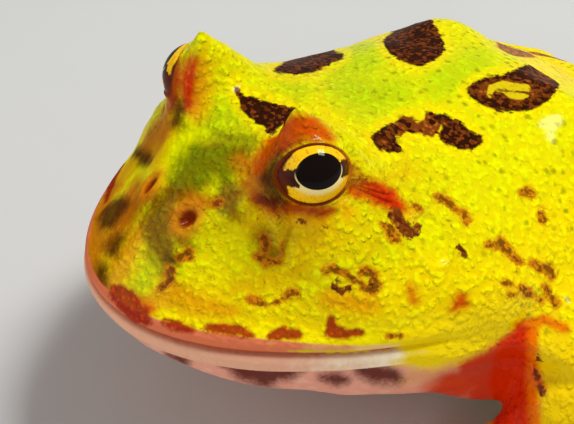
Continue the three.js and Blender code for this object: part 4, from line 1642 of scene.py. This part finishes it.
    def relief(self, b: Bench, g: Grain) -> Wire:
        """The bumped normal: low knobs under fine grains, weaker where the skin isn't granular."""
        granular = b.attribute("granular")
        knobs = b.bump(g.knobs * (granular * 0.85 + 0.15), self.wart_depth)
        return b.bump((g.tiny_grains + g.fine * 0.5) * (granular * 0.8 + 0.2), self.grain_depth, knobs)

    def material(self) -> bpy.types.Material:
        """Layers of colour over one another, from the mesh's attributes and fine noise.

        Returns:
            The skin's material.
        """
        b = Bench("moist_skin")
        g = self.grain(b)
        colour = self.lips(b, g, self.underside(b, g, self.ground(b, g)))
        dull = b.attribute("blotch").ease(-0.4, 0.3)
        matt = b.attribute("smooth") * self.smooth_gloss_loss
        gloss = (self.gloss - dull * self.blotch_gloss_loss) * (1 - matt)
        return b.surface({
            "Base Color": self.marks(b, g, colour), "Roughness": 0.32 + g.fine * 0.2 + dull * 0.3,
            "Normal": self.relief(b, g), "Coat Weight": gloss, "Coat Roughness": 0.08, "Coat IOR": 1.4,
            "Specular IOR Level": 0.0})


@dataclass(frozen=True)
class EyeFinish:
    """A wet eye: black pupil, gold iris with a cream crescent and brown bars."""

    gold: Tone = paint(252, 198, 18)
    cream: Tone = paint(252, 226, 150)
    bar: Tone = paint(56, 15, 4)
    russet: Tone = paint(84, 26, 4)
    pupil: Tone = paint(16, 7, 5)
    vein: Tone = paint(196, 120, 16)

    def material(self) -> bpy.types.Material:
        """Iris colours by the place on the eye, in millimetres from the pupil.

        Returns:
            The eye's material.
        """
        b = Bench("wet_eye")
        where = b.place()
        fine = b.noise(where, 0.35, 4.0, 0.7)
        across, up, ring = b.attribute("across"), b.attribute("up"), b.attribute("ring")
        low = 0 - up
        cloud = b.noise(where, 0.9)
        colour = b.mix(self.gold, self.vein, ((fine - 0.5) * 1.4 + (cloud - 0.5)).ease(0.0, 0.35) * 0.75)
        crescent = ring.ease(1.5, 1.15) * (low + (fine - 0.5) * 0.6).ease(0.2, 1.2)
        colour = b.mix(colour, self.cream, crescent)
        reach = across.math("ABSOLUTE", across)
        tall = (up + 0.35).math("ABSOLUTE", up + 0.35)
        bars = (1.35 - tall + (fine - 0.5) * 0.8 + (cloud - 0.5) * 1.3).ease(0.0, 0.3) * reach.ease(2.6, 2.9)
        # painted shade: a dark rim along the iris's upper front edge, under the lid's margin; the iris also
        # darkens towards its front edge
        corner = (up * 0.77 - across * 0.63 + (cloud - 0.5) * 0.5).ease(3.95, 4.3)
        corner = corner.high((0 - across + (cloud - 0.5) * 0.6).ease(4.5, 4.9))
        colour = b.mix(colour, b.mix(self.bar, self.russet, reach.ease(3.4, 4.8)), bars.high(corner))
        rim = ring.ease(0.99, 1.01) * ring.ease(1.09, 1.05)
        colour = b.mix(colour, self.cream, rim * low.ease(-0.6, 0.6) * 0.85)
        colour = b.mix(colour, self.pupil, 1 - (ring + (fine - 0.5) * 0.02).ease(0.985, 1.02))
        return b.surface({"Base Color": colour, "Roughness": 0.4, "Coat Weight": 0.5, "Coat Roughness": 0.02,
                          "Coat IOR": 1.32, "Specular IOR Level": 0.0})


@dataclass(frozen=True)
class FloorFinish:
    """Plain pale matt floor."""

    colour: Tone = paint(206, 206, 203)

    def material(self) -> bpy.types.Material:
        """An even pale tone with a slight mottle.

        Returns:
            The floor's material.
        """
        b = Bench("pale_floor")
        cloud = b.noise(b.place(), 60.0, 2.0)
        colour = b.mix(self.colour, paint(199, 199, 197), cloud)
        return b.surface({"Base Color": colour, "Roughness": 0.7})


@dataclass
class Mouth:
    """The closed mouth: a groove with a lip above and below, and the jaw's edge behind it."""

    trunk: Trunk
    corner_y: float = -21.5
    fade: float = 8.0  # length over which the mouth ends at its corner
    snout_y: float = -49.0  # before it the mouth runs right across
    lips: tuple[Ridge, ...] = (Ridge(1.5, 1.1, 0.5), Ridge(-1.6, 1.2, 0.45), Ridge(0.0, 0.3, -0.6))
    jaw_edge: tuple[Ridge, ...] = (Ridge(-3.0, 2.0, 0.9), Ridge(-6.2, 1.2, -0.7))

    def seat(self, p: Array) -> tuple[Array, Array]:
        """Where points lie to the mouth.

        Args:
            p: Points, mm.

        Returns:
            Their heights over its line, mm, and how much of the mouth there is, from 0 to 1.
        """
        y = p[:, 1]
        front = ease(self.corner_y + self.fade / 2, self.corner_y - self.fade / 2, y)
        outside = np.abs(p[:, 0]) / np.maximum(self.trunk.half_width(y), 0.5)
        outside = np.where(y < self.snout_y, 1.0, outside)
        return p[:, 2] - self.trunk.level(y), front * ease(0.75, 0.9, outside)

    def lift(self, p: Array) -> Array:
        """Outward lift of points: the ridges of the lips, and behind them those of the jaw.

        Args:
            p: Points, mm.

        Returns:
            The lifts, mm.
        """
        over, here = self.seat(p)
        behind = ease(self.corner_y - 5, self.corner_y + 2, p[:, 1]) * ease(-4, -8, p[:, 1])
        return (here * sum(ridge.lift(over) for ridge in self.lips)
                + behind * sum(ridge.lift(over) for ridge in self.jaw_edge))


@dataclass
class Eardrum:
    """A flat disc in a low ring behind the mouth's corner."""

    trunk: Trunk
    y: float = -19.0
    angle: float = 36.0
    half_size: Span = (2.8, 3.6)  # along the body and up, mm
    reach: float = 7.0
    ring: Ridge = Ridge(1.03, 0.11, 0.3)
    depth: float = 0.22

    def share(self, left: Array) -> Array:
        """Ellipse shares of points: 1 on the disc's margin, less inside it, large far off.

        Args:
            left: The points, those of the right side turned over to the left.

        Returns:
            The shares.
        """
        middle, normal = self.trunk.seat(self.y, self.angle)
        away = left - middle
        flat = away - np.outer(away @ normal, normal)
        share = np.hypot(flat[:, 1] / self.half_size[0],
                         np.hypot(flat[:, 0], flat[:, 2]) / self.half_size[1])
        return np.where(np.linalg.norm(away, axis=1) < self.reach, share, -FAR_OFF)

    def lift(self, left: Array) -> Array:
        """Outward lift of points of the left side, mm."""
        share = self.share(left)
        return self.ring.lift(share) - self.depth * ease(1.0, 0.85, share)


@dataclass
class Nostril:
    """A pit drawn out along the muzzle, with a soft rim, on a low mound."""

    trunk: Trunk
    y: float = -42.9
    angle: float = 66.0
    stretch: Triple = (1.15, 0.72, 1.0)  # of the pit's distances along x, y, z
    mound: Ridge = Ridge(0.0, 2.6, 0.75)
    rim: Ridge = Ridge(1.8, 0.7, 0.25)
    pit: Ridge = Ridge(0.0, 0.85, -1.2)

    def away(self, left: Array) -> Array:
        """From the nostril's middle to points of the left side."""
        return left - self.trunk.seat(self.y, self.angle)[0]

    def reach(self, left: Array) -> Array:
        """Stretched distance of points of the left side to the nostril's middle."""
        return np.linalg.norm(self.away(left) * self.stretch, axis=1)

    def lift(self, left: Array) -> Array:
        """Outward lift of points of the left side, mm."""
        reach = self.reach(left)
        mound = self.mound.lift(np.linalg.norm(self.away(left), axis=1))
        return mound + self.rim.lift(reach) + self.pit.lift(reach)


@dataclass
class Warts:
    """Low warts of two sizes on a soft wave, none on the lips and the underside."""

    kinds: tuple[tuple[float, int, float, float], ...] = (  # spacing, salt, share, height
        (1.9, 11, 0.4, 0.12),
        (4.6, 23, 0.2, 0.22),
    )
    wave: tuple[float, int, float] = (6.0, 31, 0.12)  # size, salt, height
    lowest: Span = (2.0, 8.0)  # heights between which they begin
    lip_spread: float = 3.5
    calm: float = 0.85  # how much of them is missing on the eardrum

    def lift(self, p: Array, mouth: Mouth, eardrum: Eardrum) -> Array:
        """Outward lift of points.

        Args:
            p: The points, mm.
            mouth: The mouth, which has none.
            eardrum: The eardrum, which has few.

        Returns:
            The lifts, mm.
        """
        over, here = mouth.seat(p)
        clear = 1 - here * bell(over / self.lip_spread)
        calm = 1 - self.calm * ease(1.1, 0.95, eardrum.share(p * side_signs(p)))
        warts = sum(pebbles(p, size, salt, share) * height for size, salt, share, height in self.kinds)
        size, salt, height = self.wave
        return ease(*self.lowest, p[:, 2]) * clear * calm * (warts + soft_noise(p, size, salt) * height)


class Marking:
    """Works out how deep each point of the finished skin lies inside the marks."""

    blotch_reach: float = 12.5  # how far a blotch's points may lie from its middle, mm
    blotch_turn: float = 0.32  # how far the skin may face away from the camera there
    frame_slack: float = 1.5  # how far a photographed mark may end beside its line on the skin, mm
    pixels_per_mm: float = 7.9  # scale of the photograph's frame at the head
    far: float = 90.0  # where the lines of sight from above and the sides begin, mm

    def __init__(self, clay: Clay, view: Viewpoint) -> None:
        """Read the skin.

        Args:
            clay: The finished surface.
            view: The photograph's camera.
        """
        self.view = view
        self.points, self.normals = clay.points, clay.normals()
        faces = [tuple(face.vertices) for face in clay.mesh.polygons]
        self.tree = BVHTree.FromPolygons(self.points.tolist(), faces)
        self.at, self.scale = view.pixels(self.points)

    def anchors(self, seen: Seen, places: Array) -> Array:
        """Where the lines of sight through places meet the skin.

        Args:
            seen: From where the places are told.
            places: Rows of two numbers.

        Returns:
            The points met, or the skin's point nearest to a line that passes by.
        """
        met = []
        for u, v in places:
            if seen is Seen.PHOTO:
                start, ray = self.view.place(), self.view.ray((u, v))
            elif seen is Seen.ABOVE:
                start, ray = np.array([u, v, self.far]), np.array([0, 0, -1.0])
            else:
                side = 1.0 if seen is Seen.LEFT else -1.0
                start, ray = np.array([side * self.far, u, v]), np.array([-side, 0, 0])
            hit = self.tree.ray_cast(Vector(start), Vector(ray))[0]
            if hit is None:
                to = self.points - start
                off = np.linalg.norm(to - np.outer(to @ ray, ray), axis=1)
                hit = self.points[np.argmin(off)]
            met.append(np.array(hit))
        return np.array(met)

    def blotch_depth(self, blotch: Blotch) -> Array:
        """Signed distance to the outline in the photograph's frame, over the scale there.

        Args:
            blotch: The blotch.

        Returns:
            The depths, mm, on the skin that faces the camera near the blotch.
        """
        at, outline = self.at, np.array(blotch.outline, float)
        nearest, inside = np.full(len(at), np.inf), np.zeros(len(at), bool)
        for a, b in zip(outline, np.roll(outline, -1, 0)):
            along = b - a
            t = np.clip((at - a) @ along / (along @ along), 0, 1)
            nearest = np.minimum(nearest, np.linalg.norm(at - a - t[:, None] * along, axis=1))
            spans = (a[1] > at[:, 1]) != (b[1] > at[:, 1])
            inside ^= spans & (at[:, 0] < a[0] + (at[:, 1] - a[1]) * along[0] / (along[1] or TINY))
        depth = np.where(inside, nearest, -nearest) / self.scale
        middle = self.anchors(Seen.PHOTO, outline.mean(0)[None])[0]
        within = self.blotch_reach - np.linalg.norm(self.points - middle, axis=1)
        facing = (self.normals @ self.view.axes()[2] + self.blotch_turn) * self.blotch_reach
        return np.maximum(np.minimum(depth, np.minimum(within, facing)), FAR_OFF)

    def mark_depth(self, mark: Mark) -> tuple[Array, Array]:
        """Depths inside a mark, for the points near it.

        Args:
            mark: The mark.

        Returns:
            The points' numbers and their depths, mm.
        """
        places = np.array(mark.places, float)
        flat, half = places[:, :2], places[:, 2]
        line = self.anchors(mark.seen, flat)
        reach = half.max() * 2 + 4
        close = (self.points > line.min(0) - reach) & (self.points < line.max(0) + reach)
        near = np.flatnonzero(close.all(1))
        depth = stroke_depth(self.points[near], line, half)
        if mark.seen is Seen.PHOTO:
            in_frame = stroke_depth(self.at[near], flat, half * self.pixels_per_mm) / self.pixels_per_mm
            depth = np.minimum(in_frame, depth + half.max() + self.frame_slack)
        return near, depth

    def depths(self) -> dict[str, Array]:
        """For each ink, how deep each point lies inside its marks, in millimetres.

        Returns:
            The depths by attribute name, with those of all blotches and of their inner parts.
        """
        off = np.full(len(self.points), FAR_OFF)
        found = {name: off.copy() for name in (*(ink.layer for ink in Ink), "amber_inner", "blotch")}
        for mark in FRONT_MARKS + SHADES + UNSEEN_MARKS:
            near, depth = self.mark_depth(mark)
            layer = found[mark.ink.layer]
            layer[near] = np.maximum(layer[near], depth)
        for blotch in BLOTCHES:
            for layer in (found[blotch.ink.layer], found["blotch"]):
                np.maximum(layer, self.blotch_depth(blotch), out=layer)
        for blotch in INNER_BLOTCHES:
            np.maximum(found["amber_inner"], self.blotch_depth(blotch), out=found["amber_inner"])
        return found


@dataclass
class Skin:
    """The frog's whole skin as one surface, over head, jaw, body, lids and legs."""

    trunk: Trunk = field(default_factory=Trunk)
    lid: Lid = field(default_factory=Lid)
    limbs: Limbs = field(default_factory=Limbs)
    view: Viewpoint = field(default_factory=Viewpoint)
    warts: Warts = field(default_factory=Warts)
    voxel: float = 0.865
    head_back: float = -8.0  # the finer faces of the head lie before it
    head_low: float = 10.0  # and above it
    floor_gap: float = 0.02  # the skin's lowest height
    arm_from: float = 0.35  # share of the upper arm at which its own colour begins
    finger_half_width: float = 2.2

    def __post_init__(self) -> None:
        """Set the mouth, the eardrum and the nostril on the trunk."""
        self.mouth, self.eardrum, self.nostril = Mouth(self.trunk), Eardrum(self.trunk), Nostril(self.trunk)

    def remeshed(self) -> Clay:
        """All parts' shells grown together into one surface of even faces.

        Returns:
            The working mesh, with soft creases.
        """
        shells = [self.trunk.shell()] + self.limbs.shells()
        for shell in self.lid.shells():
            shells += [shell, shell.mirrored()]
        start = np.cumsum([0] + [len(s.points) for s in shells])
        points = np.concatenate([s.points for s in shells])
        faces = [tuple(i + int(first) for i in face) for s, first in zip(shells, start) for face in s.faces]
        rough = bpy.data.objects.new("rough", make_mesh("rough", points, faces))
        bpy.context.collection.objects.link(rough)
        remesh = rough.modifiers.new("grow_together", "REMESH")
        remesh.mode = "VOXEL"
        remesh.voxel_size = self.voxel
        ready = rough.evaluated_get(bpy.context.evaluated_depsgraph_get())
        clay = Clay(bpy.data.meshes.new_from_object(ready))
        bpy.data.objects.remove(rough)
        clay.relax(3)
        clay.fill_creases(30, 0.5, 0.25 + 0.75 * ease(6.5, 8.5, clay.points[:, 2:]))
        clay.relax(2)
        return clay

    def refined(self, clay: Clay, chosen: Array, rounds: int) -> Clay:
        """Finer faces at the chosen points, with the head relaxed after it.

        Args:
            clay: The working mesh.
            chosen: True for each chosen point.
            rounds: Rounds of relaxing.

        Returns:
            The finer mesh.
        """
        clay = clay.refined(chosen)
        clay.relax(rounds, 0.5 * ease(self.head_back + 2, self.head_back - 2, clay.points[:, 1:2]))
        return clay

    def modelled(self) -> Clay:
        """The skin's surface with lids, eye openings, lips, nostrils, eardrums and warts.

        Returns:
            The working mesh, finer at the head and finest at its features.
        """
        clay = self.remeshed()
        head = (clay.points[:, 1] < self.head_back) & (clay.points[:, 2] > self.head_low)
        clay = self.refined(clay, head, 3)
        left = clay.points * side_signs(clay.points)
        share, distance = self.lid.opening(left)
        over, here = self.mouth.seat(clay.points)
        fine = (share < 1.75) & (distance < self.lid.reach)
        fine |= np.linalg.norm(self.nostril.away(left), axis=1) < 3
        fine |= (np.abs(over) < 1.3) & (here > 0.05)
        clay = self.refined(clay, fine, 2)
        side = side_signs(clay.points)
        left = clay.points * side
        lift = self.mouth.lift(clay.points) + self.warts.lift(clay.points, self.mouth, self.eardrum)
        lift += self.eardrum.lift(left) + self.nostril.lift(left)
        clay.points = clay.points + clay.normals() * lift[:, None]
        left = self.lid.opened(clay.points * side)
        left[:, 2] = np.maximum(left[:, 2] + self.lid.peak(left), self.floor_gap)
        clay.points = left * side
        return clay

    def colour_fields(self, clay: Clay) -> dict[str, Array]:
        """All numbers that the skin's material reads, from 0 to 1 where they aren't depths.

        Args:
            clay: The finished surface.

        Returns:
            The values by attribute name.
        """
        p, normals = clay.points, clay.normals()
        left, y, z, rise = p * side_signs(p), p[:, 1], p[:, 2], normals[:, 2]
        fields = Marking(clay, self.view).depths()
        over, here = self.mouth.seat(p)
        head, to_front = ease(-7, -12, y), ease(-22, -46, y)
        # mouth and throat by the height over the mouth's line
        fields["front"] = to_front
        fields["upper_lip"] = here * ease(1.4 + 1.2 * to_front, 0.8 + to_front, over) * ease(-0.2, 0.2, over)
        fields["lip"] = here * ease(-3.0, -2.2, over) * ease(0.3, -0.1, over)
        fields["mouth"] = here * bell(over / 0.4) * 0.9
        fields["arm"] = self.arm_field(left)
        fields["throat"] = head * ease(-2.0, -2.7, over) * (1 - fields["arm"])
        # the lids' edge by the opening's ellipse, and the nostril by the distance to it
        share, distance = self.lid.opening(left)
        near = ease(EYE_RADIUS + 2.5, EYE_RADIUS + 1.0, distance)
        fields["lid_edge"] = near * ease(0.9, 0.97, share) * ease(1.13, 1.04, share)
        fields["behind_eye"] = ease(EYE_CENTRE[1] + 1.0, EYE_CENTRE[1] + 3.0, y)
        reach = self.nostril.reach(left)
        fields["pit"] = ease(1.45, 0.8, reach)
        fields["nostril_rim"] = ease(3.2, 1.6, reach) * 0.85
        # belly and back by height and slope
        fields["belly"] = ease(-0.1, -0.6, rise) * (1 - head) * ease(12, 7, z)
        fields["upper"] = ease(26, 38, z) * ease(0.0, 0.6, rise)
        # granules and the painted shade between them: fewer on the lips, throat, eardrum and the far side of
        # the muzzle
        fields["smooth"] = ease(0.5, -4, p[:, 0]) * ease(-32, -38, y)
        granular = (1 - np.clip(here * bell(over / 3.0), 0, 1)) * ease(1, 6, z)
        granular *= (0.75 + 0.25 * ease(-6, -16, y)) * (1 - fields["throat"])
        granular *= 1 - 0.3 * ease(1.1, 0.95, self.eardrum.share(left))
        fields["granular"] = granular * (1 - 0.7 * fields["smooth"])
        # specks: on the body, and on top of the head
        body = ease(8, 18, z) * ease(-0.3, 0.2, rise) * ease(-20, -8, y)
        fields["speckled"] = np.maximum(body, ease(-34, -20, y) * fields["upper"] * 0.7)
        return fields

    def arm_field(self, left: Array) -> Array:
        """How much of the arm there is at each point, from 0 to 1.

        Args:
            left: The points, those of the right side turned over to the left.

        Returns:
            The shares.
        """
        depth = np.full(len(left), FAR_OFF)
        for part in self.limbs.arm:
            t = np.linspace(self.arm_from if part is self.limbs.arm[0] else 0, 1, 9)
            depth = np.maximum(depth, stroke_depth(left, part.centre(t), part.radius(t)))
        for path in self.limbs.fingers.paths():
            half = np.full(len(path), self.finger_half_width)
            depth = np.maximum(depth, stroke_depth(left, path, half))
        return ease(-2.6, -0.8, depth) * ease(22, 17, left[:, 2])

    def build(self, shift: Array) -> bpy.types.Object:
        """Model, colour and add the skin.

        Args:
            shift: Move from the frog's frame to the part's, mm.

        Returns:
            The skin's object.
        """
        clay = self.modelled()
        for name, values in self.colour_fields(clay).items():
            carry(clay.mesh, name, values)
        clay.points = (clay.points + shift) * METRE
        clay.write()
        piece = make_object("skin", clay.mesh, SkinFinish().material())
        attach(piece, "root")
        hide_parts(*FLESH, *(f"{name}_{side}" for name in FLESH_PAIRS for side in ("left", "right")))
        return piece


@dataclass
class Eye:
    """An eyeball with a slight cornea and the iris told in millimetres from the pupil."""

    side: str = "left"
    radius: float = EYE_RADIUS
    pupil_half_length: float = 3.05
    pupil_half_height: float = 2.3
    look: Triple = (0.80, -0.27, 0.53)  # towards the pupil's middle
    rows: int = 72
    sides: int = 112

    def build(self, shift: Array) -> bpy.types.Object:
        """Sphere with its pole at the pupil, raised over it by a low bell as a cornea.

        Args:
            shift: Move from the frog's frame to the part's, mm.

        Returns:
            The eye's object.
        """
        look = unit(np.array(self.look))
        along = unit(np.cross([0, 0, 1], look))
        rise = np.cross(look, along)
        b = np.linspace(0, np.pi, self.rows + 2)[1:-1, None]
        a = np.linspace(0, 2 * np.pi, self.sides, endpoint=False)[None, :]
        sphere = (np.cos(b)[..., None] * look + (np.sin(b) * np.cos(a))[..., None] * along
                  + (np.sin(b) * np.sin(a))[..., None] * rise)
        shell = Shell.from_rings(sphere, look, -look)
        angle = np.arccos(np.clip(shell.points @ look, -1, 1))
        arc = self.radius * angle / np.maximum(np.sin(angle), 1e-3)
        across, up = shell.points @ along * arc, shell.points @ rise * arc
        shell.points = EYE_CENTRE + shell.points * (self.radius + 0.12 * bell(angle / 0.75))[:, None]
        if self.side == "right":
            shell = shell.mirrored()
        name = f"eyeball_{self.side}"
        mesh = make_mesh(name, (shell.points + shift) * METRE, shell.faces)
        carry(mesh, "across", across)
        carry(mesh, "up", up)
        carry(mesh, "ring", np.hypot(across / self.pupil_half_length, up / self.pupil_half_height))
        piece = make_object(name, mesh, EyeFinish().material())
        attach(piece, "root")
        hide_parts(f"eye_{self.side}")
        return piece


@dataclass
class Studio:
    """A pale floor, two soft lamps and an even surrounding light."""

    floor_half: float = 3.0  # metres
    key_power: float = 5.4
    fill_power: float = 2.0
    low_power: float = 2.2
    surround: float = 0.3

    def lamp(self, name: str, place: Triple, size: float, power: float,
             glints: bool = True) -> None:
        """Add a square lamp that looks at the frog.

        Args:
            name: Its name.
            place: Where it hangs, metres.
            size: Its side, metres.
            power: Its power, watts.
            glints: Whether it is mirrored in wet surfaces.
        """
        data = bpy.data.lights.new(name, "AREA")
        data.size = size
        data.energy = power
        lamp = bpy.data.objects.new(name, data)
        lamp.location = place
        lamp.rotation_euler = (Vector((0, 0, 0.02)) - Vector(place)).to_track_quat("-Z", "Y").to_euler()
        lamp.visible_glossy = glints
        bpy.context.collection.objects.link(lamp)

    def build(self) -> None:
        """Add floor, lamps and surrounding light."""
        h = self.floor_half
        corners = np.array([[-h, -h, 0], [h, -h, 0], [h, h, 0], [-h, h, 0]])
        floor = make_object("floor", make_mesh("floor", corners, [(0, 1, 2, 3)]), FloorFinish().material())
        self.lamp("key_lamp", (0.14, 0.30, 0.72), 0.24, self.key_power)
        self.lamp("fill_lamp", (-0.32, -0.85, 0.34), 0.9, self.fill_power)
        self.lamp("low_lamp", (0.50, -0.75, 0.12), 0.5, self.low_power, glints=False)
        world = bpy.data.worlds.new("surroundings")
        world.use_nodes = True
        back = world.node_tree.nodes["Background"]
        back.inputs["Color"].default_value = (1.0, 1.0, 1.0, 1.0)
        back.inputs["Strength"].default_value = self.surround
        bpy.context.scene.world = world
        bpy.context.scene.view_settings.view_transform = "Standard"


def main() -> None:
    """Build the frog and its studio, in order, and report each piece."""
    logging.basicConfig(level=logging.INFO, format="%(message)s")
    low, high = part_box("eye_left")
    middle = np.array([(low[k] + high[k]) / 2 / METRE for k in range(3)])
    shift = np.array([0.0, middle[1] - EYE_CENTRE[1], 0.0])
    skin = Skin()
    skin.view.build(shift)
    piece = skin.build(shift)
    piece.data.calc_loop_triangles()
    LOG.info("skin: %d triangles", len(piece.data.loop_triangles))
    for side in ("left", "right"):
        LOG.info("eye: %s", Eye(side).build(shift).name)
    Studio().build()
    LOG.info("studio: floor, lamps and surrounding light")


if __name__ == "__main__":
    main()
